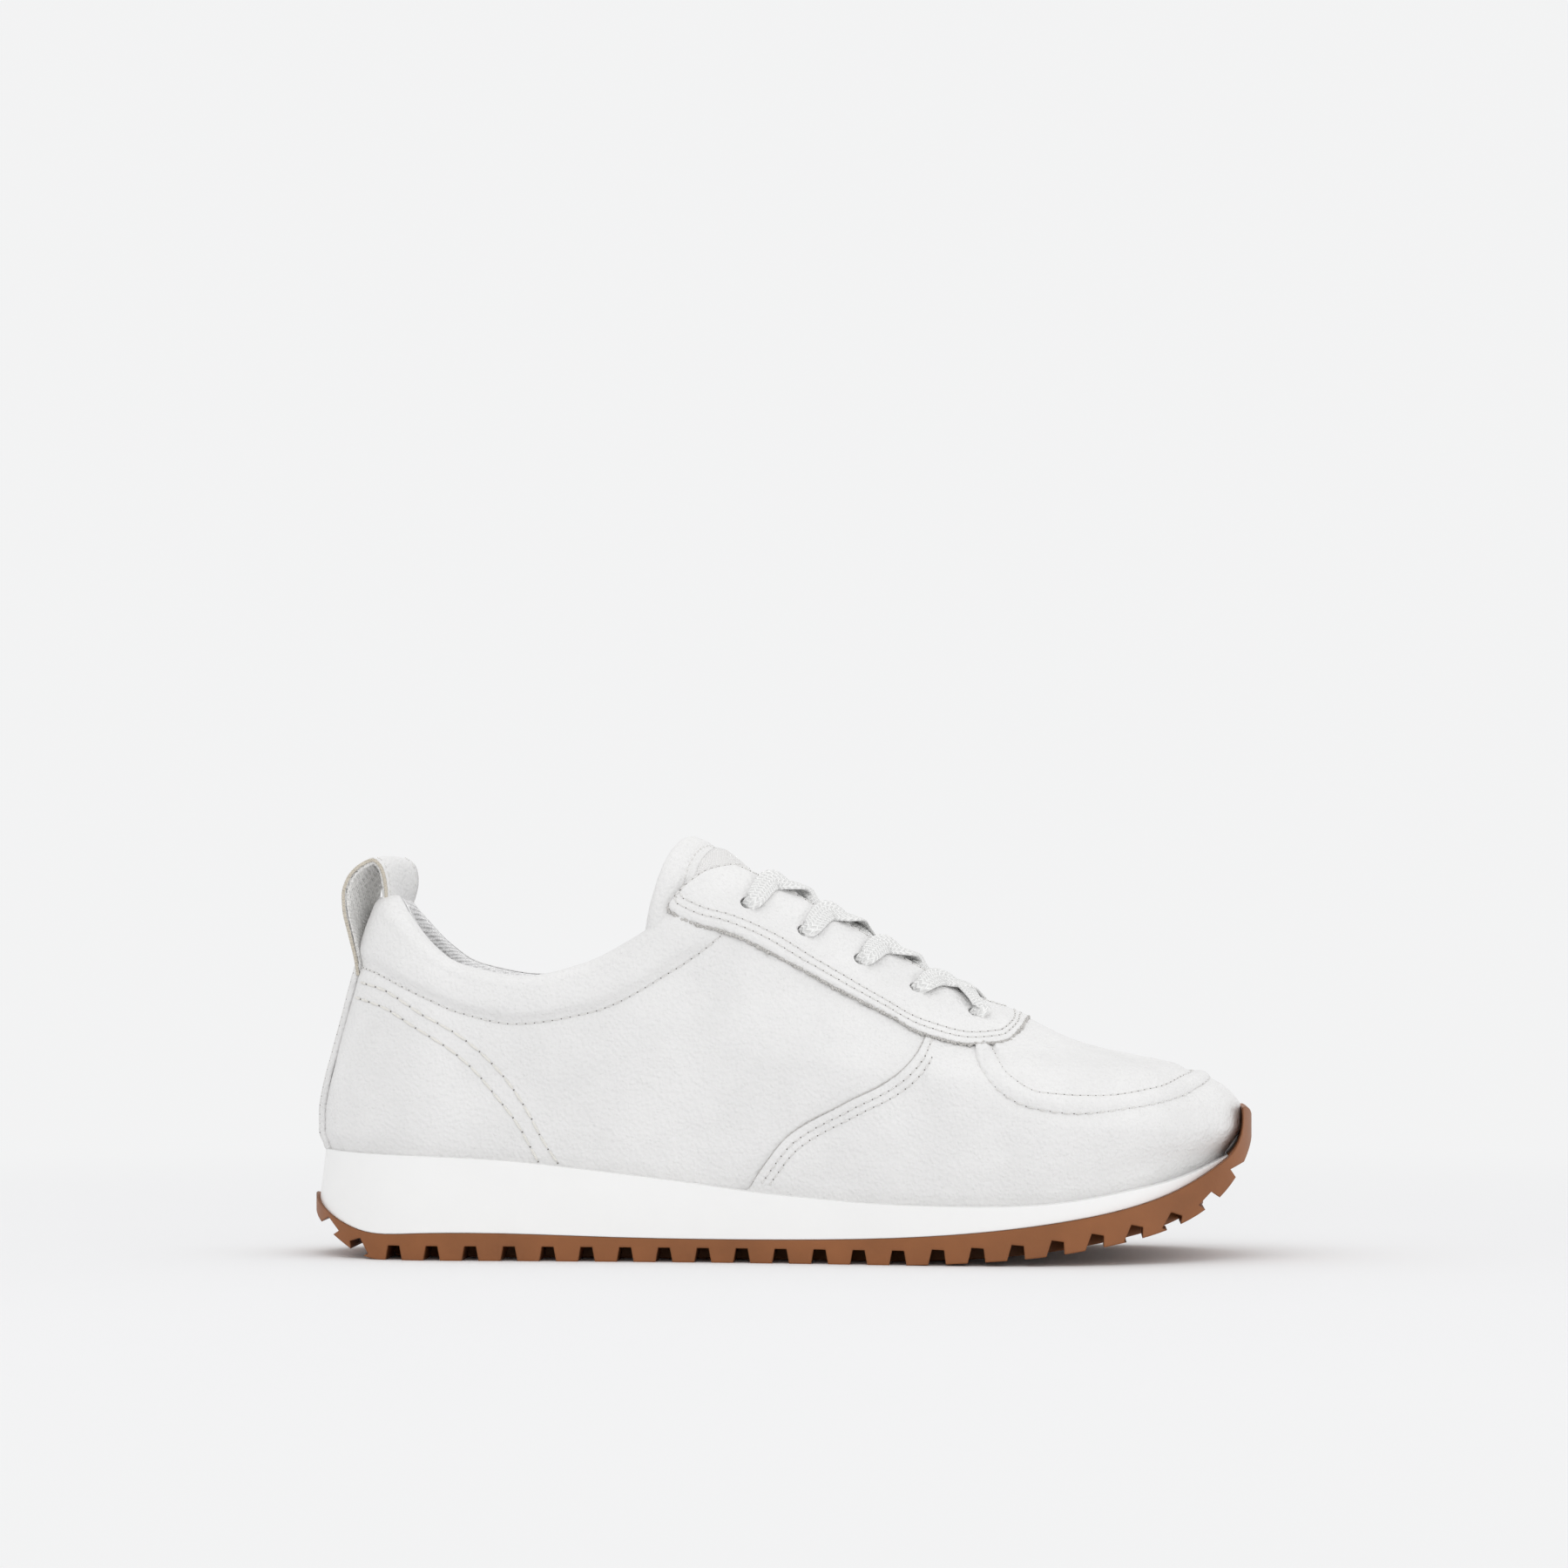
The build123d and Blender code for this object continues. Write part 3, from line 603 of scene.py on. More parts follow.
def stations(side, start, end, step=1.0):
    """Places along one side, from x start to x end, as (origin x, origin y, way x, way y).
    A start before the heel's centre goes round the heel, and an end past the toe's goes round the toe."""
    places = []
    if start < HEEL_CENTRE:
        for turn in np.linspace(0, 90, 46)[:-1]:
            places.append((HEEL_CENTRE, 0, -cos(radians(turn)), side * sin(radians(turn))))
        start = HEEL_CENTRE
    last = min(end, TOE_CENTRE)
    for x in np.linspace(start, last, int((last - start) / step) + 1):
        places.append((x, float(middle(x)), 0, side))
    if end > TOE_CENTRE:
        for turn in np.linspace(90, 0, 61)[1:]:
            way = (cos(radians(turn)), side * sin(radians(turn)))
            places.append((TOE_CENTRE, float(middle(TOE_CENTRE)), *way))
    return np.array(places)


def round_toe(start):
    """Places from x start on the outer side, round the toe, and back along the inner side."""
    lateral, medial = (stations(side, start, PAST_TOE) for side in (-1, 1))
    return np.concatenate([lateral, medial[::-1][1:]])


def wall(places, z):
    """Level rays at heights z, one row of them for each row of z."""
    x, y, dx, dy = (np.broadcast_to(places[None, :, k], z.shape) for k in range(4))
    origin = np.stack([x, y, z], axis=-1)
    return Skin(origin, np.stack([dx, dy, np.zeros_like(z)], axis=-1))


def height_of(places, line, guess=50.0):
    """The height at which each station's face meets a side-view line."""
    z = np.full((1, len(places)), guess)
    for _ in range(6):
        x = wall(places, z).at()[..., 0]
        z = line(x)
    return z[0]


def rising(low, high, rows):
    """Rows of heights, evenly spaced from one line up to another."""
    share = np.linspace(0, 1, rows)[:, None]
    return low[None, :] * (1 - share) + high[None, :] * share


# ---- Quarters, with the padded collar rolled over at the top ----

def quarter_top(x):
    """The topline, and from the eyestay on a line hidden under it."""
    hidden = eyestay_edge(x) + 5
    return np.where(x < -31, topline(x), np.minimum(hidden, 108))


def roll_radius(x):
    """The collar's roll, which is thin where it is under the eyestay."""
    return 4.4 - 3.8 * smooth(x, -40, -31)


def puff(x, z):
    """How far the collar's padding swells out between its stitch line and the topline."""
    low = collar_line(x)
    high = quarter_top(x)
    share = np.clip((z - low) / np.maximum(high - low, 1), 0, 1)
    fade = 1 - smooth(x, -32, -16)
    return fade * 1.8 * np.sin(pi * share ** 0.75) * smooth(share, 0, 0.25)


def quarter_bumps(points):
    return 0.16 * noise(points, 38, 3) + 0.07 * noise(points, 13, 4)


def vamp_bumps(points):
    return 0.14 * noise(points, 33, 7) + 0.07 * noise(points, 11, 8)


def eyestay_bumps(points):
    return 0.1 * noise(points, 24, 21) + 0.05 * noise(points, 9, 22)


def groove(distance, width, depth):
    """The dent that a tight seam pulls into soft leather."""
    return -depth * np.exp(-(distance / width) ** 2)


def quarter(name, side):
    places = stations(side, PAST_HEEL, 46, 0.9)
    behind_vamp = height_of(places, lambda x: np.where(x < -8, 0, vamp_seam(x) - 6))
    low = np.maximum(height_of(places, feather), behind_vamp)
    top = height_of(places, lambda x: quarter_top(x) - roll_radius(x), 90)
    z = rising(low - TUCKED, top, 90)
    faces = wall(places, z)
    x = faces.at()[..., 0]
    height = puff(x, z) + groove(z - collar_line(x), 1.5, 0.4) * (1 - smooth(x, -20, -13))
    height += quarter_bumps(faces.at())
    radius = roll_radius(x[-1])
    rows = []
    for turn in np.linspace(8, 112, 12):
        z_turn = top + radius * sin(radians(turn))
        rows.append((z_turn, height[-1] + radius * (cos(radians(turn)) - 1)))
    rolled = wall(places, np.array([r[0] for r in rows]))
    outer = np.concatenate([height, np.array([r[1] for r in rows])])
    mesh = sheet_of(stacked(faces, rolled), outer, LEATHER_THICK, 0.2)
    piece(mesh, name + "_leather", white_leather, "shoe", "white_leather", name)
    line = stations(side, PAST_HEEL, -15.5, 0.9)
    seam = one_row(wall(line, height_of(line, collar_line, 80)[None, :]))
    stitches(name + "_collar_stitch", seam, quarter_bumps(seam.at()) - 0.32, size=(2.0, 0.5, 0.5))


for name, side in (("quarter_lateral", -1), ("quarter_medial", 1)):
    quarter(name, side)


def collar_lining():
    """The knit lining: from the top of the roll down inside, past the collar's stitch line."""
    parts = []
    for side in (-1, 1):
        places = stations(side, PAST_HEEL, -16, 0.9)
        parts.append(places[::-1] if side < 0 else places[1:])
    places = np.concatenate(parts)
    top = height_of(places, lambda x: quarter_top(x) - roll_radius(x), 90)
    x = wall(places, top[None, :]).at()[0, :, 0]
    radius = roll_radius(x)
    zs, ds = [], []
    for turn in np.linspace(70, 180, 12):
        zs.append(top + (radius - 0.25) * sin(radians(turn)))
        ds.append((radius - 0.25) * (cos(radians(turn))) - radius)
    bottom = collar_line(x) - 7
    for share in np.linspace(0, 1, 24)[1:]:
        zs.append(top * (1 - share) + bottom * share)
        swell = 0.9 * sin(pi * share)
        ds.append(-2 * radius + 0.25 - swell + share * (2 * radius - 4.6))
    skin = wall(places, np.array(zs))
    mesh = sheet_of(skin, np.array(ds), 0.7, 0.1)
    piece(mesh, "collar_knit", knit, "shoe", "lining_knit", "collar_lining")


collar_lining()


# ---- Vamp: the mudguard round the toe, lapped over the quarters ----

def vamp_lap(x):
    """How far the vamp stands over the quarters that it is lapped over."""
    return 1.15 * (1 - smooth(x, 20, 62))


def vamp():
    places = round_toe(VAMP_REAR)
    low = height_of(places, feather, 25)

    def upper_line(x):
        rear = np.where(x < 46.5, vamp_seam(x), np.minimum(eyestay_edge(x) + 4.5, 70))
        under = 10.5 * (1 - smooth(x, 60, 84))
        return np.where(x < 61.4, rear, apron_seam(x) + 0.5 + under)

    top = np.maximum(height_of(places, upper_line, 48), low + 0.2)
    z = rising(low - TUCKED, top, 80)
    skin = wall(places, z)
    points = skin.at()
    x = points[..., 0]
    height = vamp_lap(x) + vamp_bumps(points)
    up = z - low[None, :]
    height += 0.5 * smooth(up, 3, 12) * (1 - smooth(up, 20, 30)) * smooth(x, 45, 85)
    height -= 0.45 * smooth(x, 62, 70) * smooth(z - apron_seam(x), -4, 0)
    height -= 2.2 * smooth(x, 60.5, 62) * smooth(z - apron_seam(x), 0.2, 2.5)
    mesh = sheet_of(skin, height, 1.35, 0.35)
    piece(mesh, "vamp_leather", white_leather, "shoe", "white_leather", "vamp")
    for side in (-1, 1):
        for row, inset in enumerate((2.6, 4.9)):
            line = stations(side, VAMP_REAR + inset, VAMP_TOP, 0.6)
            level = height_of(line, lambda x: vamp_seam(x - inset * 0.62) - inset * 0.78, 40)
            keep = (level > feather(line[:, 0]) + 1.5) & (level < 68)
            line, level = line[keep], level[keep]
            lap_here = vamp_lap(line[:, 0])
            sewn = one_row(wall(line, level[None, :]))
            stitches(f"vamp_stitch_{LETTER[side]}_{row}", sewn, lap_here + vamp_bumps(sewn.at()) + 0.02)
        line = stations(side, VAMP_REAR, VAMP_TOP, 0.5)
        level = height_of(line, vamp_seam, 40)
        keep = (level > feather(line[:, 0]) + 0.3) & (level < 69)
        cut = one_row(wall(line[keep], level[keep][None, :] + 0.1))
        lap_here = vamp_lap(line[keep][:, 0])
        rough_edge(f"vamp_raw_edge_{LETTER[side]}", cut, lap_here - 0.6, (1.1, 0.45, 0.9), 0.05)


vamp()


# ---- Apron: the raised plug over the toes ----

def apron():
    places = round_toe(APRON_REAR)
    edge = height_of(places, lambda x: np.where(x < 60.5, 62, apron_seam(x)), 50)
    rim = wall(places, edge[None, :]).at()[0]
    inner_level = height_of(places, lambda x: np.where(x < 64, 70, inner_seam(x)), 56)
    inner = wall(places, inner_level[None, :]).at()[0]
    centre = np.stack([places[:, 0], places[:, 1], np.full(len(places), 28.0)], axis=1)

    def tilt(points):
        level = np.hypot(points[:, 0] - centre[:, 0], points[:, 1] - centre[:, 1])
        return np.arctan2(points[:, 2] - centre[:, 2], level)

    tilt_rim, tilt_inner = tilt(rim), tilt(inner)
    tilt_inner = np.clip(tilt_inner, tilt_rim + 0.02, 1.45)
    rows = 64
    band = 14
    tilts = []
    for i in range(rows):
        if i <= band:
            tilts.append(tilt_rim + (tilt_inner - tilt_rim) * i / band)
        else:
            tilts.append(tilt_inner + (pi / 2 - tilt_inner) * (i - band) / (rows - 1 - band))
    tilts = np.array(tilts)
    level = np.cos(tilts)
    way = np.stack([places[None, :, 2] * level, places[None, :, 3] * level, np.sin(tilts)], axis=-1)
    skin = Skin(np.broadcast_to(centre[None], way.shape), way)
    share = np.arange(rows)[:, None] / band
    points = skin.at()
    band_puff = 1.3 * np.sin(pi * np.clip(share, 0, 1)) ** 0.7
    plug = 0.9 * smooth(share, 1.0, 1.5)
    pleats = 0.16 * np.cos(np.arange(len(places))[None, :] * 2 * pi / 4.0) * np.sin(pi * np.clip(share, 0, 1))
    height = np.where(share < 1, band_puff + pleats, plug) - 0.35
    height += 0.14 * noise(points, 30, 11) + 0.06 * noise(points, 10, 12)
    mesh = sheet_of(skin, height, LEATHER_THICK, 0.3)
    piece(mesh, "apron_leather", apron_leather, "shoe", "white_leather", "apron")
    stitches("apron_outer_stitch", one_row(skin, 1), -0.2, 3.6, (2.7, 0.75, 0.7), lean=0.25)
    stitches("apron_inner_stitch", one_row(skin, band), -0.25, 2.5, (1.8, 0.55, 0.5))


apron()


# ---- Eyestay: the overlay round the throat ----

def throat_half(x):
    """Half the width of the throat, which is round at its front."""
    half = through([(-20, 12.5), (30, 10.5), (56, 9)])(x)
    return half * np.sqrt(np.clip(1 - ((x - 56) / 11) ** 2 * (x > 56), 0, 1))


SPINE = 45.0


def over_spine(x, turn):
    """Rays out from the line along the middle of the upper, by angle from the outer side over the top."""
    x, turn = np.broadcast_arrays(np.asarray(x, float), np.asarray(turn, float))
    origin = np.stack([x, middle(x), np.full_like(x, SPINE)], axis=-1)
    return Skin(origin, np.stack([np.zeros_like(x), -np.cos(turn), np.sin(turn)], axis=-1))


def turn_at(x, z, side):
    """The angle of the point of the face at (x, z) on one side."""
    y = half_width(x, z, side, 0, front_line(0))
    angle = np.arctan2(z - SPINE, np.maximum(y, 0.01))
    return angle if side < 0 else pi - angle


def turn_in_plan(x, y):
    """The angle of the point of the face over (x, y)."""
    low, high = np.zeros_like(x), np.full_like(x, pi)
    for _ in range(24):
        half = (low + high) / 2
        here = over_spine(x, half).at()[..., 1]
        right = here < y
        low = np.where(right, half, low)
        high = np.where(right, high, half)
    return (low + high) / 2


def eyestay():
    outer = through_space(EYESTAY)
    share = np.linspace(0, 1, 150)
    x, z, inner_x = outer(share).T
    z = np.minimum(z, through(INSTEP[::-1])(x) - 0.3)
    sides = []
    for side in (-1, 1):
        outer_turn = turn_at(x, z, side)
        inner_turn = turn_in_plan(inner_x, middle(inner_x) + side * throat_half(inner_x))
        sides.append((x, outer_turn, inner_x, inner_turn))
    lateral, medial = sides
    xo = np.concatenate([lateral[0], np.full(12, x[-1] + 0.2), medial[0][::-1]])
    bridge = np.linspace(lateral[1][-1], medial[1][-1], 14)[1:-1]
    to = np.concatenate([lateral[1], bridge, medial[1][::-1]])
    xi = np.concatenate([lateral[2], np.full(12, inner_x[-1]), medial[2][::-1]])
    bridge = np.linspace(lateral[3][-1], medial[3][-1], 14)[1:-1]
    ti = np.concatenate([lateral[3], bridge, medial[3][::-1]])
    rows = 44
    across = np.linspace(0, 1, rows)[:, None]
    skin = over_spine(xi[None, :] * (1 - across) + xo[None, :] * across,
                      ti[None, :] * (1 - across) + to[None, :] * across)
    points = skin.at()
    height = 1.35 + eyestay_bumps(points)
    steps = np.linalg.norm(np.diff(points, axis=0), axis=2)
    run = np.cumsum(np.concatenate([np.zeros((1, points.shape[1])), steps]), axis=0)
    wide = run[-1]
    for inset in (2.4, 4.6):
        height += groove(wide[None, :] - run - inset, 1.0, 0.14)
    height += groove(run - 2.2, 1.0, 0.14)
    height -= 0.5 * (1 - smooth(run, 0, 1.4))
    mesh = sheet_of(skin, height, 1.25, 0.3)
    obj = link(mesh, "eyestay_leather", [white_leather, raw_edge], "shoe")
    rings = punches()
    cut = obj.modifiers.new("eyelets", "BOOLEAN")
    cut.operation = "DIFFERENCE"
    cut.solver = "EXACT"
    cut.object = rings
    bpy.context.view_layer.objects.active = obj
    with bpy.context.temp_override(object=obj, active_object=obj):
        bpy.ops.object.modifier_apply(modifier=cut.name)
    bpy.data.objects.remove(rings)
    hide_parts("eyestay")

    def row_at(distance, from_edge):
        share = distance / wide
        if from_edge:
            share = 1 - share
        return over_spine(xi * (1 - share) + xo * share, ti * (1 - share) + to * share)

    for name, row in (("edge_stitch_0", row_at(2.4, True)), ("edge_stitch_1", row_at(4.6, True)),
                      ("throat_stitch", row_at(2.2, False))):
        stitches("eyestay_" + name, row, 1.24 + eyestay_bumps(row.at()))
    rough_edge("eyestay_raw_edge", row_at(-0.1, True), 0.6, (1.4, 0.95, 1.0), 0.18)


def face_at(x, z, side):
    """The point of the face at (x, z) on one side, and the way out of the leather there."""
    turn = turn_at(np.array([x]), np.array([z]), side)
    skin = over_spine(np.array([x]), turn)
    turns = np.concatenate([turn, turn, turn + 0.02, turn - 0.02])
    near = over_spine(np.array([x + 0.5, x - 0.5, x, x]), turns).at()
    out = np.cross(near[0] - near[1], near[2] - near[3])
    point = skin.at()[0]
    out /= np.linalg.norm(out)
    if out[2] < 0:
        out = -out
    return point, out


def punches():
    """Pins that cut the eyelets."""
    bm = bmesh.new()
    for x, z in EYELETS:
        for side in (-1, 1):
            point, out = face_at(x, z, side)
            turn = Vector((0, 0, 1)).rotation_difference(Vector(out)).to_matrix().to_4x4()
            place = Matrix.Translation(Vector(point * MM)) @ turn
            bmesh.ops.create_cone(bm, cap_ends=True, segments=28, radius1=2.1 * MM, radius2=2.1 * MM,
                                  depth=9 * MM, matrix=place)
    mesh = bpy.data.meshes.new("punches")
    bm.to_mesh(mesh)
    bm.free()
    obj = bpy.data.objects.new("punches", mesh)
    bpy.context.scene.collection.objects.link(obj)
    return obj


eyestay()


# ---- Tongue: leather over foam, its end rolled over to a knit lining ----

def tongue():
    columns = 61
    v = np.linspace(-1, 1, columns)[None, :]
    end_x = -24 - 14.6 * (1 - (1 - np.abs(v)) ** 2.2)
    rows = 110
    u = np.linspace(0, 1, rows)[:, None]
    x = TONGUE_BASE * (1 - u) + end_x * u
    spread = 0.98 - 0.22 * smooth(x, -10, 60)
    turn = pi / 2 + v * spread * (0.98 + 0.12 * smooth(-x, 5, 30))
    free = smooth(-x, -2, 22)
    height = -5.9 + 2.2 * np.exp(-(v / 0.5) ** 2) * smooth(x, 70, 40) + free * (4.6 - 1.2 * np.abs(v) ** 3)
    skin = over_spine(x, turn)
    points = skin.at()
    height = height + 0.35 * noise(points, 26, 31) + 0.15 * noise(points, 9, 32)
    seam = (u - 0.955) * 90
    height += groove(seam, 1.6, 0.9) * (np.abs(v) < 2)
    side_seam = (np.abs(v) - 0.88) * 27
    height += groove(side_seam, 1.4, 0.5)
    top = skin.at(height)
    thick = 10.5 - 5.0 * smooth(x, -5, 30) - 2.0 * np.abs(v) ** 2
    bottom = skin.at(height - thick)
    along = top[-1] - top[-4]
    along /= np.linalg.norm(along, axis=-1)[:, None]
    centre = (top[-1] + bottom[-1]) / 2
    up = (top[-1] - bottom[-1]) / 2
    size = np.linalg.norm(up, axis=-1)[:, None]
    turns = np.linspace(0, pi, 22)[1:-1]
    roll = np.stack([centre + up * cos(t) + along * size * 0.75 * sin(t) for t in turns])
    ring = np.concatenate([top, roll, bottom[::-1]])
    split = rows + 9
    halves = (("tongue_cover", ring[:split], white_leather, ("tongue_leather",)),
              ("tongue_knit", ring[split - 1:], knit, ("tongue_foam", "tongue_lining")))
    for name, part, mat, nodes in halves:
        down = np.zeros_like(part)
        down[1:-1] = np.cross(part[2:] - part[:-2], np.gradient(part, axis=1)[1:-1])
        down[0], down[-1] = down[1], down[-2]
        down /= np.linalg.norm(down, axis=-1)[..., None]
        sign = 1 if np.mean(down[:30, :, 2]) < 0 else -1
        if name == "tongue_knit":
            sign = -sign if np.mean(down[-30:, :, 2]) * sign < 0 else sign
        inner = part + down * sign * 0.8
        obj = piece(closed_sheet(part, inner), name, mat, "tongue",
                    "white_leather" if mat is white_leather else "lining_knit", *nodes)
    for side in (-1, 1):
        column = int(round((side * 0.88 + 1) / 2 * (columns - 1)))
        line = top[30:rows - 5, column]
        way_up = top[30:rows - 5, column] - bottom[30:rows - 5, column]
        stitch_line(f"tongue_side_stitch_{LETTER[side]}", line, way_up, "tongue")
    row = rows - 5
    stitch_line("tongue_end_stitch", top[row, 4:-4], top[row, 4:-4] - bottom[row, 4:-4], "tongue")
    return top


def tongue_label(cover):
    """The plain label, lying on the cover, which is a grid of points from the tongue's base to its end."""
    rows, columns = cover.shape[:2]
    along = (TONGUE_BASE - np.linspace(-5, -18, 14)) / (TONGUE_BASE + 24) * (rows - 1)
    across = (np.linspace(-0.42, 0.42, 23) + 1) / 2 * (columns - 1)
    lines = pick(cover.reshape(rows, -1), along).reshape(-1, columns, 3)
    place = np.array([pick(line, across) for line in lines])
    outward = np.cross(np.gradient(place, axis=0), np.gradient(place, axis=1))
    outward /= np.linalg.norm(outward, axis=-1)[..., None]
    if np.mean(outward[..., 2]) < 0:
        outward = -outward
    rim = np.ones(place.shape[:2])
    rim[1:-1, 1:-1] = 0
    top_face = place + outward * (0.75 - 0.3 * rim)[..., None]
    low_face = place - outward * 0.1
    piece(closed_sheet(top_face, low_face), "tongue_tag", label_cloth, "tongue",
          "label_weave", "tongue_label")


def stitch_line(name, line, out, body):
    """Stitches along plain points, given the way out at each."""
    index = spaced(line, STITCH_PITCH)
    centre = pick(line, index)
    way_out = pick(out, index)
    along = pick(line, np.minimum(index + 0.3, len(line) - 1)) - pick(line, np.maximum(index - 0.3, 0))
    beads(name, centre, along, way_out, STITCH, thread_white, body)


tongue_label(tongue())


# ---- Lace: flat, woven, gathered where it passes an eyelet ----

def throat_point(x, y, height):
    """The point at a height over the face, given how far along and across it is."""
    turn = turn_in_plan(np.array([float(x)]), np.array([float(y) + float(middle(x))]))
    return over_spine(np.array([float(x)]), turn).at(height)[0]


def ribbon(name, route, material_used, body):
    """A flat lace along (point, way out, width, thickness) stations, smoothed between them."""
    points = np.array([r[0] for r in route])
    outs = np.array([r[1] for r in route])
    sizes = np.array([(r[2], r[3]) for r in route])
    steps = np.linalg.norm(np.diff(points, axis=0), axis=1) ** 0.5
    knots = np.concatenate([[0], np.cumsum(steps)])
    fine = np.linspace(0, knots[-1], int(np.sum(steps ** 2) / 0.55))
    centre = cubic(knots, points, fine)
    out = cubic(knots, outs, fine)
    size = np.stack([np.interp(fine, knots, sizes[:, k]) for k in (0, 1)], axis=1)
    for _ in range(6):
        size[1:-1] = (size[2:] + size[:-2] + 2 * size[1:-1]) / 4
    along = np.gradient(centre, axis=0)
    along /= np.linalg.norm(along, axis=1)[:, None]
    out -= along * np.sum(out * along, axis=1)[:, None]
    out /= np.linalg.norm(out, axis=1)[:, None]
    across = np.cross(out, along)
    corners = 20
    turn = np.arange(corners) * 2 * pi / corners
    shape_w = np.sign(np.cos(turn)) * np.abs(np.cos(turn)) ** 0.8
    shape_h = np.sign(np.sin(turn)) * np.abs(np.sin(turn)) ** 0.75
    rings = (centre[:, None, :] + across[:, None, :] * (size[:, 0:1] / 2 * shape_w[None, :])[..., None]
             + out[:, None, :] * (size[:, 1:2] / 2 * shape_h[None, :])[..., None])
    run = np.concatenate([[0], np.cumsum(np.linalg.norm(np.diff(centre, axis=0), axis=1))])
    count = len(centre)
    faces = grid_faces(count, corners, wrap=True)
    faces.append(tuple(range(corners))[::-1])
    faces.append(tuple((count - 1) * corners + k for k in range(corners)))
    mesh = bpy.data.meshes.new(name)
    mesh.from_pydata((rings.reshape(-1, 3) * MM).tolist(), [], faces)
    layer = mesh.uv_layers.new(name="weave")
    u = (size[:, 0:1] / 2 * shape_w[None, :]).reshape(-1)
    v = np.repeat(run, corners)
    loops = np.array([l.vertex_index for l in mesh.loops])
    uvs = np.stack([u[loops], v[loops]], axis=1)
    layer.data.foreach_set("uv", uvs.reshape(-1))
    mesh.polygons.foreach_set("use_smooth", [True] * len(mesh.polygons))
    bm = bmesh.new()
    bm.from_mesh(mesh)
    bmesh.ops.recalc_face_normals(bm, faces=bm.faces)
    bm.to_mesh(mesh)
    bm.free()
    return link(mesh, name, material_used, body)


def cubic(knots, values, at):
    """A smooth curve through values, with even tangents."""
    slopes = np.gradient(values, knots, axis=0)
    i = np.clip(np.searchsorted(knots, at, side="right") - 1, 0, len(knots) - 2)
    h = (knots[i + 1] - knots[i])[:, None]
    t = ((at - knots[i]) / h[:, 0])[:, None]
    return (values[i] * (1 + 2 * t) * (1 - t) ** 2 + h * slopes[i] * t * (1 - t) ** 2
            + values[i + 1] * t * t * (3 - 2 * t) + h * slopes[i + 1] * t * t * (t - 1))


LACE_WIDTH = 7.9
LACE_THICK = 1.35
GATHERED = 4.0
GATHERED_THICK = 2.2


def flat(x, y, height, out):
    """A station of the lace where it lies flat over the throat."""
    return throat_point(x, y, height), np.array(out), LACE_WIDTH, LACE_THICK


def lace_half(side):
    """One half of the lace, from beside the front bar's middle to below its last eyelet."""
    route = []
    layer = 1.0 if side > 0 else -0.6
    for row, (x, z) in enumerate(EYELETS):
        point, out = face_at(x, z, side)
        inward = np.array([0, -side, 0.0])
        top = point + out * 2.6 + inward * 0.5 + np.array([1.6, 0, 0])
        route.append((top, out, GATHERED + 1.6, GATHERED_THICK - 0.5))
        route.append((point - out * 0.4, (-inward * 0.9 + out * 0.3), GATHERED - 0.4, GATHERED_THICK))
        route.append((point - out * 4.4 + inward * 0.8, -out, GATHERED, GATHERED_THICK - 0.3))
        if row == len(EYELETS) - 1:
            tail = point - out * 7.5 + np.array([-5.0, 0, -5])
            route.append((tail, -out, GATHERED + 1, GATHERED_THICK - 0.5))
            break
        next_x, next_z = EYELETS[row + 1]
        edge = float(throat_half(x + 4))
        under = throat_point(x + 4.5, side * (edge + 2.5), -3.9)
        route.append((under, np.array([0, -side * 0.2, 1.0]), LACE_WIDTH - 1.0, LACE_THICK))
        route.append(flat(x + 3.2, side * 6, -1.3 + layer * 0.6, (0.45, 0, 1.0)))
        route.append(flat(x - 0.8, 0, 0.6 + layer, (0.45, 0, 1.0)))
        edge = float(throat_half(next_x + 13))
        route.append(flat(next_x + 13.2, -side * (edge + 0.2), 2.6, (0.2, -side * 0.35, 1.0)))
        over = throat_point(next_x + 7.4, -side * (edge + 4.2), 2.4)
        route.append((over, face_at(next_x, next_z, -side)[1], LACE_WIDTH, LACE_THICK + 0.1))
        side = -side
    return route


# Where the front bar goes: across, height over the leather, and back from the first eyelets
FRONT_BAR = [(-12.5, 2.5, 1.5), (-5, 2.1, 3.5), (0, 2.0, 4), (5, 2.1, 3.5), (12.5, 2.5, 1.5)]
front_bar = [flat(EYELETS[0][0] - back, y, height, (0.35, -y * 0.02, 1.0)) for y, height, back in FRONT_BAR]
lace_route = lace_half(-1)[::-1] + front_bar + lace_half(1)
lace_obj = ribbon("lace_woven", lace_route, lace_cloth, "shoe")
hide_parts("lace")


# ---- Threads of the heel: the double arc on each quarter, and the edges of the strap ----

# Side view of the two rows, from the collar down to the midsole
HEEL_ARCS = [
    [(-129.7, 84.0), (-121.6, 81.9), (-108.1, 74.3), (-98.4, 69.0), (-90.1, 62.8), (-82.5, 54.9),
     (-76.1, 45.5), (-71.0, 36.1), (-66.6, 29.3)],
    [(-131.3, 79.4), (-121.6, 76.7), (-111.1, 70.8), (-100.1, 64.1), (-92.5, 57.8), (-85.8, 50.1),
     (-78.9, 41.2), (-72.6, 29.8)],
]


def heel_arc(k, arc, side):
    """One row of the double arc of stitches on a quarter."""
    x, z = through_space(arc)(np.linspace(0, 1, 60)).T
    start = np.stack([np.maximum(x, HEEL_CENTRE), np.zeros_like(x), z], axis=1)
    y = half_width(x, z, side, 0, front_line(0))
    way = np.stack([x - start[:, 0], side * y, np.zeros_like(x)], axis=1)
    way /= np.linalg.norm(way, axis=1)[:, None]
    skin = Skin(start, way)
    lift = 0.08 + puff(x, z) + quarter_bumps(skin.at())
    stitches(f"heel_arc_{k}_{LETTER[side]}", skin, lift, 5.1, (4.5, 0.8, 0.5), thread_cream)


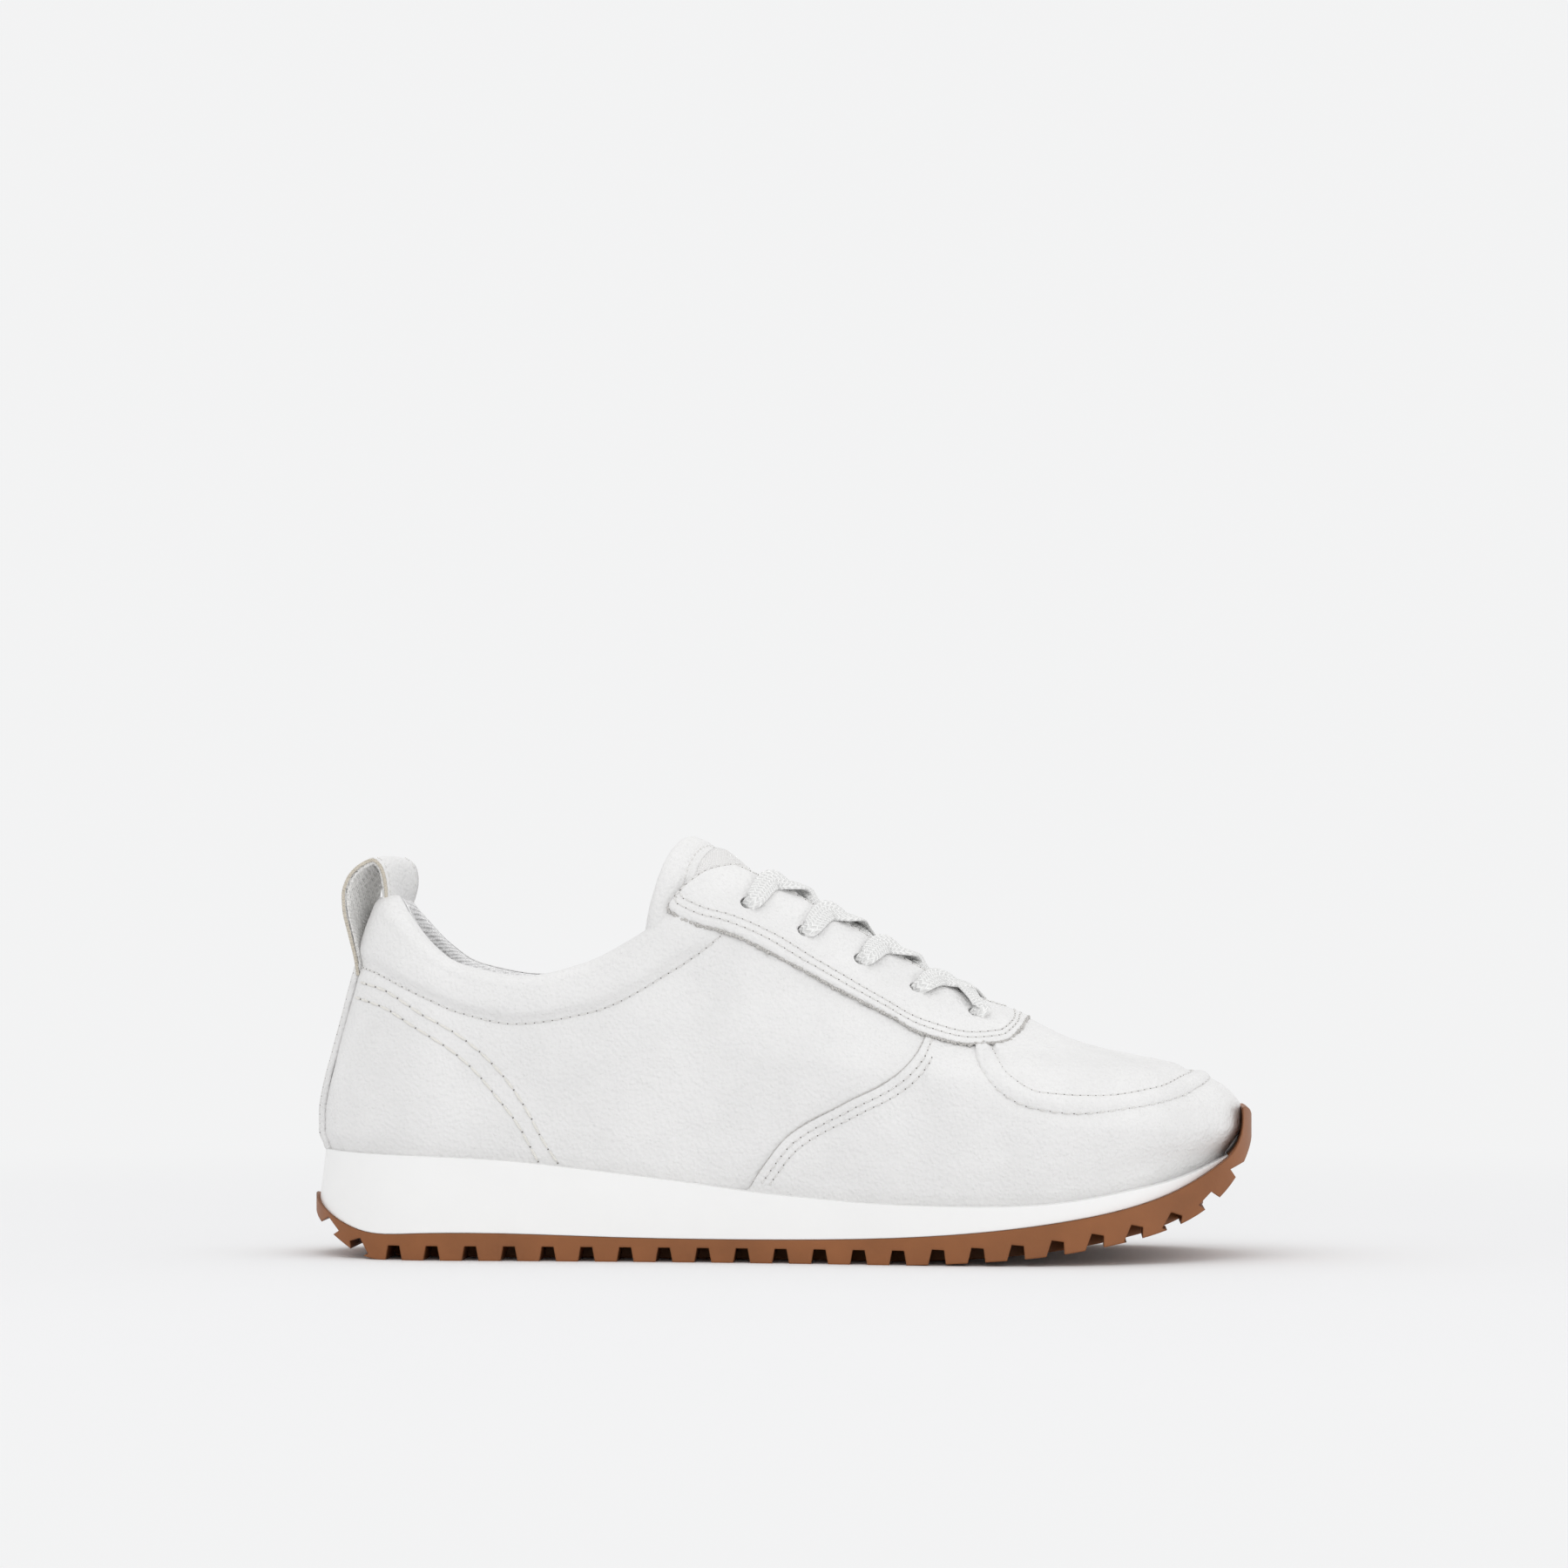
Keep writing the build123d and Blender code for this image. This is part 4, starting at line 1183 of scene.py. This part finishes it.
for k, arc in enumerate(HEEL_ARCS):
    for side in (-1, 1):
        heel_arc(k, arc, side)


STRAP_HALF = 9.0
# Side view of the strap's near edge from the collar seam, up, over and down inside the collar
LOOP_LINE = [(-131.4, 86), (-131.9, 90), (-133.8, 98.1), (-135.7, 106.5), (-135.9, 110.7),
             (-134.4, 116.4), (-130.4, 121.2), (-126.2, 123.0), (-123.3, 120.6), (-121.9, 115.4),
             (-121.5, 111.0), (-121.6, 105.5), (-122.0, 99.0)]
# How far the strap leans towards the toe at each of those points, for each mm across
LOOP_SHEAR = [0, 0.02, 0.22, 0.4, 0.44, 0.45, 0.45, 0.45, 0.45, 0.42, 0.36, 0.26, 0.16]


def back_strip():
    """The strap down the back of the heel, wrapped round it."""
    z, y = np.meshgrid(np.linspace(32.2, 89.5, 70), np.linspace(-STRAP_HALF, STRAP_HALF, 25), indexing="ij")
    origin = np.stack([np.full_like(z, HEEL_CENTRE), np.zeros_like(z), z], axis=-1)
    way = np.stack([HEEL(z) - HEEL_CENTRE, y, np.zeros_like(z)], axis=-1)
    way /= np.linalg.norm(way, axis=-1)[..., None]
    skin = Skin(origin, way)
    inset = STRAP_HALF - np.abs(y)
    height = 1.75 + groove(inset - 1.7, 0.8, 0.15) + 0.08 * noise(skin.at(), 15, 41)
    piece(sheet_of(skin, height, 1.7, 0.35), "back_strip", white_leather, "shoe",
          "white_leather", "heel_strap")
    for side in (-1, 1):
        column = 12 + side * 10
        row = Skin(origin[:, column], way[:, column])
        stitches(f"strap_stitch_{LETTER[side]}", row, 1.6, size=(1.9, 0.6, 0.5))


def pull_loop():
    """The loop: leather outside and webbing inside, leaning towards the toe on its far side."""
    knots = [(*point, lean) for point, lean in zip(LOOP_LINE, LOOP_SHEAR)]
    line = through_space(knots)(np.linspace(0, 1, 120))
    along = np.gradient(line[:, :2], axis=0)
    along /= np.linalg.norm(along, axis=1)[:, None]
    out = np.stack([-along[:, 1], np.zeros(len(line)), along[:, 0]], axis=1)
    y = np.linspace(-STRAP_HALF, STRAP_HALF, 19)
    middle_line = np.stack([line[:, 0], np.zeros(len(line)), line[:, 1]], axis=1)
    lean = line[:, 2]

    def layer(offset, half=STRAP_HALF):
        across = y * half / STRAP_HALF
        points = middle_line[:, None, :] + out[:, None, :] * offset
        points = np.broadcast_to(points, (len(line), len(y), 3)).copy()
        points[..., 1] += across[None, :]
        points[..., 0] += lean[:, None] * (across[None, :] + STRAP_HALF)
        points[..., 2] -= 0.02 * across[None, :] ** 2 * smooth(points[..., 2], 112, 122) * 0.5
        return points

    piece(closed_sheet(layer(0), layer(-1.0)), "pull_loop_leather", white_leather, "shoe",
          "white_leather", "heel_strap")
    piece(closed_sheet(layer(-1.05, 8.7), layer(-2.0, 8.5)), "pull_loop_webbing", webbing, "shoe",
          "webbing", "heel_strap_webbing")
    for side in (-1, 1):
        edge = layer(-0.55, 9.05)[:, 0 if side < 0 else -1]
        index = spaced(edge, 0.9)
        centre = pick(edge, index)
        way_along = pick(edge, np.minimum(index + 0.5, 119)) - pick(edge, np.maximum(index - 0.5, 0))
        size = (1.3, 0.5, 1.15)
        beads(f"loop_edge_{LETTER[side]}", centre, way_along, pick(out, index), size, tan_edge, "shoe")
        sewn = layer(0.02, 7.4)[:, 0 if side < 0 else -1]
        stitch_line(f"loop_stitch_{LETTER[side]}", sewn[8:100], out[8:100], "shoe")


back_strip()
pull_loop()


# ---- Stage: pale floor, soft studio light, the camera ----

SKY = (0.895, 0.897, 0.9)


def stage():
    """A wide paper floor that fades into the sky's own brightness away from the shoe."""
    mat, nodes, links, shader = material("studio_paper", (0.83, 0.83, 0.835), 0.9, 0.05)
    where = coordinates(nodes)
    fine = noise_node(nodes, links, where, 3, 2)
    tint(nodes, links, fine, (0.825, 0.825, 0.83), (0.835, 0.835, 0.84), shader)
    far = nodes.new("ShaderNodeVectorMath")
    far.operation = "LENGTH"
    links.new(where, far.inputs[0])
    fade = nodes.new("ShaderNodeMapRange")
    fade.interpolation_type = "SMOOTHSTEP"
    fade.inputs["From Min"].default_value = 0.22
    fade.inputs["From Max"].default_value = 0.75
    links.new(far.outputs["Value"], fade.inputs["Value"])
    glow = nodes.new("ShaderNodeEmission")
    glow.inputs["Color"].default_value = (*SKY, 1)
    mix = nodes.new("ShaderNodeMixShader")
    links.new(fade.outputs["Result"], mix.inputs["Fac"])
    links.new(shader.outputs["BSDF"], mix.inputs[1])
    links.new(glow.outputs["Emission"], mix.inputs[2])
    links.new(mix.outputs["Shader"], nodes["Material Output"].inputs["Surface"])
    mesh = bpy.data.meshes.new("studio_floor")
    mesh.from_pydata([(x, y, 0) for y in (-60, 60) for x in (-60, 60)], [], [(0, 1, 3, 2)])
    mesh.polygons.foreach_set("use_smooth", [True] * len(mesh.polygons))
    floor = link(mesh, "studio_floor", mat, None)


stage()


def area_light(name, place, target, size, power, colour=(1, 1, 1)):
    lamp = bpy.data.lights.new(name, "AREA")
    lamp.shape = "RECTANGLE"
    lamp.size, lamp.size_y = size
    lamp.energy = power
    lamp.color = colour
    obj = bpy.data.objects.new(name, lamp)
    obj.location = place
    way = Vector(target) - Vector(place)
    obj.rotation_euler = way.to_track_quat("-Z", "Y").to_euler()
    bpy.context.scene.collection.objects.link(obj)


area_light("key", (-0.5, -0.7, 1.5), (0, 0, 0.05), (1.4, 1.0), 3.2)
area_light("top", (0.2, 0.3, 1.6), (0, 0, 0.05), (1.6, 1.2), 2.4)
area_light("fill", (0.4, -1.8, 0.35), (0, 0, 0.05), (1.6, 0.6), 2.6)
area_light("toe", (1.3, -0.7, 0.14), (0.1, 0, 0.04), (0.9, 0.25), 1.9)
world = bpy.data.worlds.new("studio")
world.use_nodes = True
world.node_tree.nodes["Background"].inputs["Color"].default_value = (*SKY, 1)
world.node_tree.nodes["Background"].inputs["Strength"].default_value = 1.0
bpy.context.scene.world = world
bpy.context.scene.view_settings.view_transform = "Standard"

# In metres: how wide the picture is at the shoe, and how high its middle is over the ground
PICTURE_WIDTH = 0.48474
MIDDLE_HEIGHT = 0.1451527
EYE_HEIGHT = 0.105
DISTANCE = 1.5
SENSOR = 36
YAW = radians(-3.0)
camera_data = bpy.data.cameras.new("camera")
camera_data.sensor_width = SENSOR
camera_data.lens = SENSOR * DISTANCE / PICTURE_WIDTH
camera_data.shift_y = (MIDDLE_HEIGHT - EYE_HEIGHT) / PICTURE_WIDTH
camera = bpy.data.objects.new("camera", camera_data)
away = Vector((sin(-YAW), -cos(YAW), 0))
camera.location = Vector((0.0004, 0.0, EYE_HEIGHT)) + away * DISTANCE
camera.rotation_euler = (-away).to_track_quat("-Z", "Y").to_euler()
bpy.context.scene.collection.objects.link(camera)
bpy.context.scene.camera = camera
